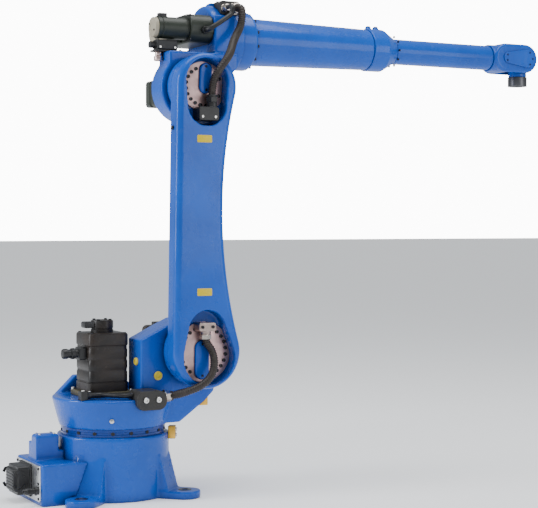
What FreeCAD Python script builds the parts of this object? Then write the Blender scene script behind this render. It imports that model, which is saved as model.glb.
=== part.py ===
import FreeCAD, Part
import math
import os
from FreeCAD import Vector

# Six-axis floor-mounted robot arm. Millimetres, with the origin on the floor under the turret's
# axis. +Z is up, +X is the way the forearm points, and the upper arm stands on the -Y side.

X_AXIS = Vector(1, 0, 0)
Y_AXIS = Vector(0, 1, 0)
Z_AXIS = Vector(0, 0, 1)

SEAT_GAP = 0.3          # running gap of a bearing face
MOVING_GAP = 7.0        # gap between castings that pass each other

# Base
BOLT_SPACING = 310.0
BOLT_HOLE = 18.0
FOOT_RADIUS = 44.0
FOOT_THICKNESS = 22.0
COLUMN_RADIUS = 160.0
COLUMN_HEIGHT = 179.0
GUSSET_HEIGHT = 120.0
GUSSET_WIDTH = 84.0
NECK_RADIUS = 149.0
NECK_HEIGHT = 21.5
STOP_WIDTH = 28.0
STOP_ANGLE = -31.0

# Connector box at the back of the base
BOX_REAR = 250.0
BOX_WIDTH = 220.0
BOX_HEIGHT = 114.0
HUMP_HEIGHT = 186.0
HUMP_WIDTH = 43.0
HUMP_LENGTH = 66.0
HUMP_NEAR = -30.0
HUMP_SHOULDER_WIDTH = 24.0
HUMP_SHOULDER_HEIGHT = 163.0
PLATE_THICKNESS = 4.0
HOOD_LENGTH = 38.0
HOOD_WIDTH = 86.0
HOOD_HEIGHT = 80.0
SIGNAL_RADIUS = 11.0
SIGNAL_LENGTH = 43.0

# Turret
DRUM_HEIGHT = 83.0
DRUM_FOOT_RADIUS = 153.0
DRUM_TOP_RADIUS = 175.0
SHOULDER_X = 204.0
SHOULDER_Z = 410.0
SHOULDER_RADIUS = 98.0
UPRIGHT_THICKNESS = 95.0
UPRIGHT_REAR = 40.0
WEDGE_FAR = 40.0
RIB_HEIGHT = 50.0
RIB_NEAR = 86.0

# Motors of the turret
TURN_MOTOR_X = -34.0
TURN_MOTOR_SIZE = 120.0
TURN_MOTOR_HEIGHT = 165.0
TURN_PLATE_SIZE = 144.0
TURN_PLATE_THICKNESS = 14.0
ENCODER_HEIGHT = 35.0
ENCODER_RADIUS = 40.0
TURN_ENCODER_RADIUS = 32.0
SHOULDER_MOTOR_SIZE = 118.0
SHOULDER_MOTOR_LENGTH = 118.0
SHOULDER_SEAT = 20.0

# Upper arm
ARM_LENGTH = 750.0
ARM_NEAR = -207.0
ARM_THICKNESS = 62.0
HUB_BOSS = 28.0
LOWER_HUB_RADIUS = 104.0
UPPER_HUB_RADIUS = 93.0
ARM_HOLLOW_RADIUS = 1380.0
ARM_EDGE_FILLET = 16.0
RECESS_DEPTH = 40.0
LOWER_RECESS_RADIUS = 79.0
UPPER_RECESS_RADIUS = 64.0
REDUCER_DISC = 6.0
COVER_RISE = 8.0
COVER_HALF_WIDTH = 22.0
BEARING_BOSS_RADIUS = 80.0

# Elbow
ELBOW_RADIUS = 101.0
DECK_RISE = 105.0
ELBOW_FAR = -35.0
ELBOW_TOP_FAR = 80.0
FOREARM_OFFSET = 157.0
HOUSING_RADIUS = 97.0
HOUSING_REAR = 277.0
HOUSING_FRONT = 376.0
WEB_SETBACK = 30.0
ELBOW_MOTOR_SIZE = 80.0
ELBOW_MOTOR_LENGTH = 170.0
ELBOW_FLANGE_HALF = 56.0
ELBOW_FLANGE_THICKNESS = 18.0

# Wrist motors behind the elbow
MOTOR_BLOCK_LENGTH = 72.0
MOTOR_BLOCK_HEIGHT = 84.0
WRIST_MOTOR_RADIUS = 32.0
WRIST_MOTOR_REAR = 110.0
SHORT_MOTOR_REAR = 168.0
WRIST_MOTOR_PITCH = 66.0
WRIST_MOTOR_RISE = 19.0

# Forearm and wrist
COLLAR_RADIUS = 87.0
COLLAR_LENGTH = 52.0
TUBE_START_RADIUS = 71.0
TUBE_END_RADIUS = 63.5
TUBE_LENGTH = 417.0
END_FLANGE_LENGTH = 55.0
CONE_LENGTH = 45.0
NARROW_RADIUS = 40.0
REACH = 1443.0
YOKE_START = 1318.0
YOKE_RADIUS = 47.0
YOKE_HALF_WIDTH = 50.0
CHEEK_THICKNESS = 13.0
YOKE_SLOT_DEPTH = 76.0
WRIST_RADIUS = 42.0
FLANGE_RADIUS = 31.5
FLANGE_DROP = 89.0
FLANGE_THICKNESS = 30.0
FLANGE_PITCH_RADIUS = 25.0
FLANGE_TAP = 5.0
FLANGE_PILOT_RADIUS = 15.75

# Hoses
HOSE_RADIUS = 12.0
CABLE_RADIUS = 7.0

# Heights and stations worked out from the sizes above
NECK_TOP = COLUMN_HEIGHT + NECK_HEIGHT
DRUM_BOTTOM = NECK_TOP + SEAT_GAP
DRUM_TOP = DRUM_BOTTOM + DRUM_HEIGHT
ARM_BACK = ARM_NEAR + ARM_THICKNESS
ARM_FAR = ARM_BACK + HUB_BOSS
UPRIGHT_NEAR = ARM_FAR + MOVING_GAP
ELBOW_NEAR = ARM_FAR + MOVING_GAP
UPRIGHT_FAR = UPRIGHT_NEAR + UPRIGHT_THICKNESS
SHOULDER_SEAT_FAR = UPRIGHT_FAR + SHOULDER_SEAT
SHOULDER_MOTOR_END = SHOULDER_SEAT_FAR + 14 + SHOULDER_MOTOR_LENGTH
ELBOW_Z = SHOULDER_Z + ARM_LENGTH
FOREARM_Z = ELBOW_Z + FOREARM_OFFSET
DECK_Z = ELBOW_Z + DECK_RISE
RECESS_FLOOR = ARM_NEAR + RECESS_DEPTH
DISC_FACE = RECESS_FLOOR - REDUCER_DISC
COLLAR_START = HOUSING_FRONT + SEAT_GAP
TUBE_START = COLLAR_START + COLLAR_LENGTH
TUBE_END = TUBE_START + TUBE_LENGTH
CONE_START = TUBE_END + END_FLANGE_LENGTH
NARROW_START = CONE_START + CONE_LENGTH
BLOCK_REAR = HOUSING_REAR - MOTOR_BLOCK_LENGTH
WRIST_MOTOR_Z = FOREARM_Z + WRIST_MOTOR_RISE


def box(x0, x1, y0, y1, z0, z1):
    return Part.makeBox(x1 - x0, y1 - y0, z1 - z0, Vector(x0, y0, z0))


def rod(start, axis, radius, length):
    return Part.makeCylinder(radius, length, Vector(*start), axis)


def union(shapes):
    whole = shapes[0].fuse(shapes[1:]) if len(shapes) > 1 else shapes[0]
    return whole.removeSplitter()


def flat_edges(shape, axis, value):
    """Edges that lie in the plane where the given coordinate has the given value."""
    found = []
    for edge in shape.Edges:
        low = getattr(edge.BoundBox, axis + "Min")
        high = getattr(edge.BoundBox, axis + "Max")
        if abs(low - value) < 0.01 and abs(high - value) < 0.01:
            found.append(edge)
    return found


def soften(shape, axis, value, radius):
    return shape.makeFillet(radius, flat_edges(shape, axis, value))


def bevel(shape, axis, value, size):
    return shape.makeChamfer(size, flat_edges(shape, axis, value))


def upright_edges(shape, axis):
    """Straight edges that run along one axis."""
    found = []
    for edge in shape.Edges:
        if edge.Curve.TypeId != "Part::GeomLine":
            continue
        run = edge.tangentAt(edge.FirstParameter)
        if abs(abs(run.dot(axis)) - 1) < 1e-6:
            found.append(edge)
    return found


def plate(x0, x1, y0, y1, z0, z1, axis, corner):
    """A box with rounded corners round the given axis."""
    block = box(x0, x1, y0, y1, z0, z1)
    return block.makeFillet(corner, upright_edges(block, axis))


def side_outline(edges, y0, y1):
    """Extrude a closed outline drawn at y = 0 in the XZ plane from y0 to y1."""
    face = Part.Face(Part.Wire(edges))
    face.translate(Vector(0, y0, 0))
    return face.extrude(Vector(0, y1 - y0, 0))


def polygon(points, y0, y1):
    corners = [Vector(x, 0, z) for x, z in points]
    loop = Part.makePolygon(corners + [corners[0]])
    return side_outline(loop.Edges, y0, y1)


def rounded_hull(x0, z0, r0, x1, z1, r1, y0, y1):
    """The band round two circles in the XZ plane, joined by their outer tangents."""
    along = Vector(x1 - x0, 0, z1 - z0)
    span = along.Length
    heading = math.atan2(along.z, along.x)
    opening = math.acos((r0 - r1) / span)
    arcs = []
    ends = []
    for cx, cz, r, middle in ((x0, z0, r0, heading + math.pi), (x1, z1, r1, heading)):
        left = heading + opening
        right = heading - opening
        spots = [Vector(cx + r * math.cos(t), 0, cz + r * math.sin(t)) for t in (left, middle, right)]
        arcs.append(Part.Arc(*spots).toShape())
        ends.append((spots[0], spots[2]))
    left_line = Part.LineSegment(ends[0][0], ends[1][0]).toShape()
    right_line = Part.LineSegment(ends[0][1], ends[1][1]).toShape()
    loop = Part.__sortEdges__([arcs[0], left_line, arcs[1], right_line])
    return side_outline(loop, y0, y1)


def hose(points, radius, share=0.45):
    """A round hose through the points, with a tangent arc at each bend; prints the radii."""
    spots = [Vector(*point) for point in points]
    edges = []
    radii = []
    start = spots[0]
    for before, here, after in zip(spots, spots[1:], spots[2:]):
        back = (before - here).normalize()
        ahead = (after - here).normalize()
        reach = share * min((before - here).Length, (after - here).Length)
        half_turn = (math.pi - back.getAngle(ahead)) / 2
        bend = reach / math.tan(half_turn)
        first = here + back * reach
        last = here + ahead * reach
        inward = (back + ahead).normalize()
        middle = here + inward * (bend / math.cos(half_turn) - bend)
        edges.append(Part.LineSegment(start, first).toShape())
        edges.append(Part.Arc(first, middle, last).toShape())
        radii.append(round(bend))
        start = last
    edges.append(Part.LineSegment(start, spots[-1]).toShape())
    path = Part.Wire(edges)
    ring = Part.Wire(Part.makeCircle(radius, spots[0], spots[1] - spots[0]))
    tube = path.makePipeShell([ring], True, False)
    expected = math.pi * radius ** 2 * path.Length
    print("hose length", round(path.Length), "bend radii", radii,
          "volume ratio", round(tube.Volume / expected, 4))
    return tube


# ---------------------------------------------------------------- base

def base_foot(side_x, side_y):
    """One bolted foot: a round pad, the arm that carries it and the gusset above."""
    pad_radius = BOLT_SPACING / 2 * math.sqrt(2)
    arm = box(COLUMN_RADIUS / 2, pad_radius, -FOOT_RADIUS, FOOT_RADIUS, 0, FOOT_THICKNESS)
    pad = rod((pad_radius, 0, 0), Z_AXIS, FOOT_RADIUS, FOOT_THICKNESS)
    toe = pad_radius - FOOT_RADIUS * 0.8
    slope = [(COLUMN_RADIUS / 2, 0), (toe, 0), (toe, FOOT_THICKNESS),
             (COLUMN_RADIUS - 2, GUSSET_HEIGHT), (COLUMN_RADIUS / 2, GUSSET_HEIGHT)]
    gusset = polygon(slope, -GUSSET_WIDTH / 2, GUSSET_WIDTH / 2)
    foot = union([arm, pad, gusset])
    foot.rotate(Vector(0, 0, 0), Z_AXIS, math.degrees(math.atan2(side_y, side_x)))
    return foot


def base_casting():
    column = rod((0, 0, 0), Z_AXIS, COLUMN_RADIUS, COLUMN_HEIGHT)
    column = soften(column, "Z", COLUMN_HEIGHT, 6)
    feet = [base_foot(sx, sy) for sx in (-1, 1) for sy in (-1, 1)]
    casting = union([column] + feet)
    for sx in (-1, 1):
        for sy in (-1, 1):
            spot = (sx * BOLT_SPACING / 2, sy * BOLT_SPACING / 2, -1)
            casting = casting.cut(rod(spot, Z_AXIS, BOLT_HOLE / 2, FOOT_THICKNESS + 2))
    return casting


def neck_ring():
    return rod((0, 0, COLUMN_HEIGHT), Z_AXIS, NECK_RADIUS, NECK_HEIGHT)


def rotation_stop():
    """Brass block bolted to the column, under the turret's overhang."""
    block = box(COLUMN_RADIUS - 4, COLUMN_RADIUS + 20, -STOP_WIDTH / 2, STOP_WIDTH / 2,
                COLUMN_HEIGHT - 20, COLUMN_HEIGHT + 16)
    block = block.cut(rod((0, 0, 0), Z_AXIS, COLUMN_RADIUS, COLUMN_HEIGHT + 40))
    block.rotate(Vector(0, 0, 0), Z_AXIS, STOP_ANGLE)
    return block


def connector_box(casting):
    low = box(-BOX_REAR, -COLUMN_RADIUS / 2, -BOX_WIDTH / 2, BOX_WIDTH / 2, 0, BOX_HEIGHT)
    low = low.makeFillet(10, upright_edges(low, Z_AXIS)[:2])
    rear = -BOX_REAR + 10
    side = HUMP_NEAR + HUMP_WIDTH
    hump = box(rear, rear + HUMP_LENGTH, HUMP_NEAR, side, BOX_HEIGHT - 5, HUMP_HEIGHT)
    hump = bevel(hump, "Z", HUMP_HEIGHT, 5)
    shoulder = box(rear, rear + HUMP_LENGTH, side - 1, side + HUMP_SHOULDER_WIDTH, BOX_HEIGHT - 5,
                   HUMP_SHOULDER_HEIGHT)
    saddle = box(rear + HUMP_LENGTH - 1, -COLUMN_RADIUS / 2, HUMP_NEAR, side + HUMP_SHOULDER_WIDTH,
                 BOX_HEIGHT - 5, BOX_HEIGHT + 26)
    return union([low, hump, shoulder, saddle]).cut(casting).cut(neck_ring())


def connector_plate():
    edge = 12
    return plate(-BOX_REAR - PLATE_THICKNESS, -BOX_REAR, -BOX_WIDTH / 2 + edge,
                 BOX_WIDTH / 2 - edge, 12, BOX_HEIGHT - 4, X_AXIS, 6)


HOOD_FRONT = -BOX_REAR - PLATE_THICKNESS
HOOD_CENTRE_Y = 15.0
HOOD_CENTRE_Z = 62.0


def power_connector():
    """Rectangular panel socket with its plug hood, pointing backwards."""
    half_w = HOOD_WIDTH / 2
    half_h = HOOD_HEIGHT / 2
    y = HOOD_CENTRE_Y
    z = HOOD_CENTRE_Z
    flange = plate(HOOD_FRONT - 5, HOOD_FRONT, y - half_w - 5, y + half_w + 5, z - half_h - 5,
                   z + half_h + 5, X_AXIS, 4)
    hood = plate(HOOD_FRONT - HOOD_LENGTH, HOOD_FRONT - 5, y - half_w, y + half_w, z - half_h,
                 z + half_h, X_AXIS, 8)
    lid = plate(HOOD_FRONT - HOOD_LENGTH - 10, HOOD_FRONT - HOOD_LENGTH, y - half_w + 10,
                y + half_w - 10, z - half_h + 10, z + half_h - 10, X_AXIS, 8)
    return union([flange, hood, lid])


def connector_levers():
    """The hood's two locking levers, one above the other on its far side."""
    levers = []
    side = HOOD_CENTRE_Y + HOOD_WIDTH / 2
    for direction in (-1, 1):
        z = HOOD_CENTRE_Z + direction * HOOD_HEIGHT / 4
        arm = plate(HOOD_FRONT - HOOD_LENGTH - 18, HOOD_FRONT - 14, side, side + 5, z - 13, z + 13,
                    Y_AXIS, 6)
        levers.append(arm)
    return Part.makeCompound(levers)


def signal_connector():
    y = -BOX_WIDTH / 2 + 20
    z = 43.0
    nut = rod((HOOD_FRONT, y, z), -X_AXIS, SIGNAL_RADIUS, 12)
    barrel = rod((HOOD_FRONT - 12, y, z), -X_AXIS, SIGNAL_RADIUS - 2, SIGNAL_LENGTH - 12)
    return union([nut, barrel])


# ---------------------------------------------------------------- turret

def turret_casting():
    """Conical drum with the upright that carries the shoulder bearing on its near side."""
    drum = Part.makeCone(DRUM_FOOT_RADIUS, DRUM_TOP_RADIUS, DRUM_HEIGHT, Vector(0, 0, DRUM_BOTTOM))
    drum = soften(drum, "Z", DRUM_TOP, 5)
    x = SHOULDER_X
    z = SHOULDER_Z
    sill = DRUM_BOTTOM + 5
    front = [(x + 83, z - 40), (x + 64, z - 121), (x + 35, z - 148), (x - 43, sill)]
    upright = polygon([(UPRIGHT_REAR, DRUM_TOP - 20), (UPRIGHT_REAR, z + 34), (x - 46, z + 90),
                       (x - 10, z + 90), (x + 60, z + 60)] + front + [(x - 110, sill)],
                      UPRIGHT_NEAR, UPRIGHT_FAR)
    head = rod((x, UPRIGHT_NEAR, z), Y_AXIS, SHOULDER_RADIUS, UPRIGHT_THICKNESS)
    upright = soften(union([upright, head]), "Y", UPRIGHT_NEAR, 6)
    wedge = polygon([(x - 110, DRUM_TOP + 16), (x - 42, z - 70), (x + 60, z - 70)] + front
                    + [(x - 110, sill)], UPRIGHT_FAR - 10, WEDGE_FAR)
    bearing = rod((x, ARM_FAR + SEAT_GAP, z), Y_AXIS, BEARING_BOSS_RADIUS, MOVING_GAP)
    motor_seat = rod((x, UPRIGHT_FAR, z), Y_AXIS, SHOULDER_RADIUS - 8, SHOULDER_SEAT_FAR - UPRIGHT_FAR)
    low = DRUM_TOP - 10
    high = DRUM_TOP + RIB_HEIGHT
    rib = polygon([(-144, low), (-82, high), (60, high), (112, low)], RIB_NEAR, RIB_NEAR + 30)
    return union([drum, upright, wedge, bearing, motor_seat, rib])


def turn_motor_plate():
    half = TURN_PLATE_SIZE / 2
    return plate(TURN_MOTOR_X - half, TURN_MOTOR_X + half, -half, half, DRUM_TOP,
                 DRUM_TOP + TURN_PLATE_THICKNESS, Z_AXIS, 14)


TURN_MOTOR_FOOT = DRUM_TOP + TURN_PLATE_THICKNESS
TURN_MOTOR_TOP = TURN_MOTOR_FOOT + TURN_MOTOR_HEIGHT


def turn_motor():
    half = TURN_MOTOR_SIZE / 2
    body = plate(TURN_MOTOR_X - half, TURN_MOTOR_X + half, -half, half, TURN_MOTOR_FOOT,
                 TURN_MOTOR_TOP, Z_AXIS, 16)
    return bevel(body, "Z", TURN_MOTOR_TOP, 5)


def turn_motor_encoder():
    cap = rod((TURN_MOTOR_X, 0, TURN_MOTOR_TOP), Z_AXIS, TURN_ENCODER_RADIUS, ENCODER_HEIGHT)
    return bevel(cap, "Z", TURN_MOTOR_TOP + ENCODER_HEIGHT, 3)


def turn_motor_sockets():
    """The encoder's socket at the top and the power socket on the motor's rear side."""
    rear = TURN_MOTOR_X - TURN_MOTOR_SIZE / 2
    top = TURN_MOTOR_TOP + ENCODER_HEIGHT
    upper = plate(TURN_MOTOR_X - TURN_ENCODER_RADIUS - 26, TURN_MOTOR_X, -15, 15, top - 22, top - 4,
                  Y_AXIS, 5).cut(turn_motor_encoder())
    level = SHOULDER_Z - 4
    elbow = plate(rear - 20, rear, -34, 4, level - 18, level + 18, X_AXIS, 5)
    plug = rod((rear - 20, -15, level), -X_AXIS, 12, 44)
    return Part.makeCompound([upper, union([elbow, plug])])


def shoulder_motor():
    half = SHOULDER_MOTOR_SIZE / 2
    x = SHOULDER_X
    z = SHOULDER_Z
    flange = plate(x - half - 6, x + half + 6, SHOULDER_SEAT_FAR, SHOULDER_SEAT_FAR + 14,
                   z - half - 6, z + half + 6, Y_AXIS, 14)
    body = plate(x - half, x + half, SHOULDER_SEAT_FAR + 14, SHOULDER_MOTOR_END, z - half, z + half,
                 Y_AXIS, 16)
    return union([flange, body])


def shoulder_motor_encoder():
    """End cap of the shoulder motor with its two sockets on top."""
    x = SHOULDER_X
    z = SHOULDER_Z
    cap = rod((x, SHOULDER_MOTOR_END, z), Y_AXIS, ENCODER_RADIUS, ENCODER_HEIGHT)
    socket = plate(x - 15, x + 15, SHOULDER_MOTOR_END + 6, SHOULDER_MOTOR_END + 28, z,
                   z + ENCODER_RADIUS + 26, Z_AXIS, 5)
    return union([cap, socket])


def shoulder_stop():
    """Brass buffer under the front of the upright that ends the shoulder's swing."""
    x = SHOULDER_X + 33
    z = SHOULDER_Z - 146
    block = box(x - 12, x + 12, UPRIGHT_NEAR + 2, UPRIGHT_NEAR + 32, z - 14, z + 20)
    return block.cut(turret_casting())


def grease_plugs():
    near = rod((UPRIGHT_REAR + 52, UPRIGHT_NEAR, SHOULDER_Z - 68), -Y_AXIS, 12.5, MOVING_GAP - 5.5)
    rear = rod((UPRIGHT_REAR, UPRIGHT_NEAR + 32, SHOULDER_Z - 28), -X_AXIS, 11, 6)
    return Part.makeCompound([near, rear])


CLAMP_REAR = -4.0
CLAMP_FRONT = 86.0
CLAMP_NEAR = -188.0
CLAMP_HOSE_Y = -166.0
CABLE_CLAMP_Y = -150.0
CLAMP_Z = 282.0


def hose_clamp(casting):
    """Rounded clamp block on the drum's near shoulder, cut to the drum it sits on."""
    block = plate(CLAMP_REAR, CLAMP_FRONT, CLAMP_NEAR, UPRIGHT_NEAR, CLAMP_Z - 27, CLAMP_Z + 27,
                  Y_AXIS, 24)
    return block.cut(casting)


GLAND_X = -116.0
GLAND_Y = -96.0
GLAND_Z = DRUM_TOP + 12


def cable_gland():
    foot = plate(GLAND_X - 22, GLAND_X, GLAND_Y - 14, GLAND_Y + 14, DRUM_TOP, GLAND_Z + 12, Z_AXIS, 5)
    nut = rod((GLAND_X, GLAND_Y, GLAND_Z), X_AXIS, CABLE_RADIUS + 3, 10)
    return union([foot, nut])


def turret_cable():
    """Cable from the drum's gland to the clamp, along the drum's near edge."""
    route = [(GLAND_X + 10, GLAND_Y, GLAND_Z), (GLAND_X + 40, GLAND_Y, GLAND_Z),
             (GLAND_X + 76, CABLE_CLAMP_Y + 12, GLAND_Z), (CLAMP_REAR - 22, CABLE_CLAMP_Y, GLAND_Z),
             (CLAMP_REAR, CABLE_CLAMP_Y, GLAND_Z)]
    return hose(route, CABLE_RADIUS)


# ---------------------------------------------------------------- upper arm

def arm_outline():
    """Lower hub, straight rear edge, upper hub and the long hollow of the front edge."""
    low = Vector(SHOULDER_X, 0, SHOULDER_Z)
    high = Vector(SHOULDER_X, 0, ELBOW_Z)
    lean = math.asin((LOWER_HUB_RADIUS - UPPER_HUB_RADIUS) / ARM_LENGTH)
    rear = Vector(-math.cos(lean), 0, math.sin(lean))
    rear_low = low + rear * LOWER_HUB_RADIUS
    rear_high = high + rear * UPPER_HUB_RADIUS
    to_low = ARM_HOLLOW_RADIUS + LOWER_HUB_RADIUS
    to_high = ARM_HOLLOW_RADIUS + UPPER_HUB_RADIUS
    rise = (to_low ** 2 - to_high ** 2 + ARM_LENGTH ** 2) / (2 * ARM_LENGTH)
    centre = low + Vector(math.sqrt(to_low ** 2 - rise ** 2), 0, rise)
    front_low = low + (centre - low) * (LOWER_HUB_RADIUS / to_low)
    front_high = high + (centre - high) * (UPPER_HUB_RADIUS / to_high)
    waist = centre - Vector(ARM_HOLLOW_RADIUS, 0, 0)
    return [Part.LineSegment(rear_low, rear_high).toShape(),
            Part.Arc(rear_high, high + Vector(0, 0, UPPER_HUB_RADIUS), front_high).toShape(),
            Part.Arc(front_high, waist, front_low).toShape(),
            Part.Arc(front_low, low - Vector(0, 0, LOWER_HUB_RADIUS), rear_low).toShape()]


def lower_recess(inset, y0, y1):
    """Egg-shaped opening over the shoulder reducer, drawn in by the inset."""
    return rounded_hull(SHOULDER_X + 4, SHOULDER_Z - 14, LOWER_RECESS_RADIUS - inset,
                        SHOULDER_X - 2, SHOULDER_Z + 62, LOWER_RECESS_RADIUS - 22 - inset, y0, y1)


def upper_recess(inset, y0, y1):
    """Egg-shaped opening over the elbow reducer, drawn in by the inset."""
    return rounded_hull(SHOULDER_X - 3, ELBOW_Z + 14, UPPER_RECESS_RADIUS - inset,
                        SHOULDER_X - 3, ELBOW_Z - 54, UPPER_RECESS_RADIUS - 5 - inset, y0, y1)


def upper_arm_casting():
    arm = side_outline(arm_outline(), ARM_NEAR, ARM_BACK)
    arm = soften(arm, "Y", ARM_NEAR, ARM_EDGE_FILLET)
    arm = soften(arm, "Y", ARM_BACK, ARM_EDGE_FILLET)
    for z, radius in ((SHOULDER_Z, LOWER_HUB_RADIUS - 4), (ELBOW_Z, UPPER_HUB_RADIUS - 4)):
        sunk = ARM_EDGE_FILLET
        boss = rod((SHOULDER_X, ARM_BACK - sunk, z), Y_AXIS, radius, HUB_BOSS + sunk)
        arm = arm.fuse(soften(boss, "Y", ARM_FAR, 5))
    arm = arm.removeSplitter()
    arm = arm.cut(lower_recess(0, ARM_NEAR - 1, RECESS_FLOOR))
    return arm.cut(upper_recess(0, ARM_NEAR - 1, RECESS_FLOOR))


def lower_reducer_flange():
    """Bare metal face of the shoulder reducer on the floor of the lower opening."""
    disc = rod((SHOULDER_X, DISC_FACE, SHOULDER_Z), Y_AXIS, LOWER_RECESS_RADIUS + 6, REDUCER_DISC)
    return disc.common(lower_recess(1, DISC_FACE, RECESS_FLOOR))


def lower_hub_cover():
    x = SHOULDER_X - 7
    cover = rounded_hull(x, SHOULDER_Z - 56, COVER_HALF_WIDTH, x + 1, SHOULDER_Z + 11,
                         COVER_HALF_WIDTH, DISC_FACE - COVER_RISE, DISC_FACE)
    return soften(cover, "Y", DISC_FACE - COVER_RISE, 4)


LOWER_CLIP_Z = SHOULDER_Z + 50
LOWER_CLIP_X = SHOULDER_X - 4
LOWER_CLIP_Y = RECESS_FLOOR - 28


def lower_hose_bracket():
    """Clamp bracket at the top of the lower opening, with its hose union facing down."""
    foot = plate(LOWER_CLIP_X - 26, LOWER_CLIP_X + 26, LOWER_CLIP_Y - 16, RECESS_FLOOR,
                 LOWER_CLIP_Z + 10, LOWER_CLIP_Z + 34, Y_AXIS, 6)
    foot = foot.cut(lower_reducer_flange())
    union_nut = rod((LOWER_CLIP_X, LOWER_CLIP_Y, LOWER_CLIP_Z), Z_AXIS, HOSE_RADIUS + 3, 10)
    return union([foot, union_nut])


def upper_reducer_flange():
    """Bare metal face of the elbow reducer on the floor of the upper opening."""
    disc = rod((SHOULDER_X, DISC_FACE, ELBOW_Z), Y_AXIS, UPPER_RECESS_RADIUS + 6, REDUCER_DISC)
    return disc.common(upper_recess(1, DISC_FACE, RECESS_FLOOR))


def upper_hub_cover():
    x = SHOULDER_X + 4
    half = COVER_HALF_WIDTH - 3
    cover = rounded_hull(x, ELBOW_Z - 2, half, x + 2, ELBOW_Z + 48, half, DISC_FACE - COVER_RISE,
                         DISC_FACE)
    return soften(cover, "Y", DISC_FACE - COVER_RISE, 4)


UPPER_CLIP_X = SHOULDER_X + 16
UPPER_CLIP_Y = RECESS_FLOOR - 28
UPPER_CLIP_Z = ELBOW_Z - 46


def upper_cable_gland():
    """Black gland block at the bottom of the upper opening, with its nut facing up."""
    block = plate(UPPER_CLIP_X - 46, UPPER_CLIP_X + 16, UPPER_CLIP_Y - 16, RECESS_FLOOR,
                  UPPER_CLIP_Z - 52, UPPER_CLIP_Z - 14, Y_AXIS, 8)
    block = block.cut(upper_reducer_flange())
    nut = rod((UPPER_CLIP_X, UPPER_CLIP_Y, UPPER_CLIP_Z - 14), Z_AXIS, HOSE_RADIUS + 3, 14)
    return union([block, nut])


def lower_harness():
    """Hose from the turret's clamp, round the rim of the lower hub, up to the bracket."""
    passing = ARM_NEAR - HOSE_RADIUS - 5
    x = SHOULDER_X
    z = SHOULDER_Z
    level = CLAMP_Z + 8
    route = [(CLAMP_FRONT, CLAMP_HOSE_Y, level), (CLAMP_FRONT + 24, CLAMP_HOSE_Y, level),
             (x - 68, passing + 14, z - 106), (x - 32, passing, z - 92), (x + 2, passing, z - 66),
             (x + 18, passing + 12, z - 28), (x + 14, LOWER_CLIP_Y - 4, z + 8),
             (LOWER_CLIP_X, LOWER_CLIP_Y, z + 30), (LOWER_CLIP_X, LOWER_CLIP_Y, LOWER_CLIP_Z)]
    return hose(route, HOSE_RADIUS)


# ---------------------------------------------------------------- elbow

def elbow_casting():
    """Disc on the elbow's axis, the web above it and the round housing of the forearm bearing."""
    x = SHOULDER_X
    z = ELBOW_Z
    disc = rod((x, ELBOW_NEAR, z), Y_AXIS, ELBOW_RADIUS, ELBOW_FAR - ELBOW_NEAR)
    bearing = rod((x, ARM_FAR + SEAT_GAP, z), Y_AXIS, BEARING_BOSS_RADIUS - 6, MOVING_GAP)
    front = HOUSING_FRONT - WEB_SETBACK
    web = polygon([(x - 97, z + 22), (x - 76, DECK_Z - 34), (x - 76, DECK_Z), (front, DECK_Z),
                   (front, z + 66), (x + 120, z + 44), (x + 94, z - 34), (x, z)],
                  ELBOW_NEAR, ELBOW_FAR)
    top = polygon([(HOUSING_REAR, DECK_Z - 25), (HOUSING_REAR, FOREARM_Z + 60),
                   (front, FOREARM_Z + 60), (front, DECK_Z - 25)], -HOUSING_RADIUS, ELBOW_TOP_FAR)
    housing = rod((HOUSING_REAR, 0, FOREARM_Z), X_AXIS, HOUSING_RADIUS, HOUSING_FRONT - HOUSING_REAR)
    housing = soften(housing, "X", HOUSING_REAR, 8)
    lug = plate(HOUSING_REAR + 14, HOUSING_REAR + 32, -30, -6, FOREARM_Z + 70,
                FOREARM_Z + HOUSING_RADIUS + 8, Y_AXIS, 4)
    return union([disc, bearing, web, top, housing, lug])


def elbow_motor():
    half = ELBOW_MOTOR_SIZE / 2
    x = SHOULDER_X
    z = ELBOW_Z
    wide = ELBOW_FLANGE_HALF
    seat = ELBOW_FAR + ELBOW_FLANGE_THICKNESS
    flange = plate(x - wide, x + wide, ELBOW_FAR, seat, z - wide, z + wide, Y_AXIS, 22)
    body = plate(x - half, x + half, seat, seat + ELBOW_MOTOR_LENGTH, z - half, z + half, Y_AXIS, 10)
    return union([flange, body])


def elbow_motor_encoder():
    """End cap of the elbow motor with a socket facing the casting."""
    x = SHOULDER_X
    z = ELBOW_Z
    end = ELBOW_FAR + ELBOW_FLANGE_THICKNESS + ELBOW_MOTOR_LENGTH
    cap = plate(x - 30, x + 30, end, end + 14, z - 30, z + 30, Y_AXIS, 12)
    return bevel(cap, "Y", end + 14, 2)


def wrist_motor_block():
    """Dark gear housing between the elbow casting and the three wrist motors."""
    half = MOTOR_BLOCK_HEIGHT / 2
    z = FOREARM_Z + 21
    return plate(BLOCK_REAR, HOUSING_REAR, MOTOR_Y[0] - 40, MOTOR_Y[2] + 36, z - half, z + half,
                 X_AXIS, 38)


MOTOR_Y = [-52.0, -52.0 + WRIST_MOTOR_PITCH, -52.0 + 2 * WRIST_MOTOR_PITCH]
MOTOR_REAR = [WRIST_MOTOR_REAR, SHORT_MOTOR_REAR, SHORT_MOTOR_REAR]
CAP_LENGTH = 12.0


def wrist_motors(numbers):
    motors = []
    for rear, y in [(MOTOR_REAR[number], MOTOR_Y[number]) for number in numbers]:
        start = (rear, y, WRIST_MOTOR_Z)
        motors.append(rod(start, X_AXIS, WRIST_MOTOR_RADIUS, BLOCK_REAR - rear))
    return Part.makeCompound(motors)


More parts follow.
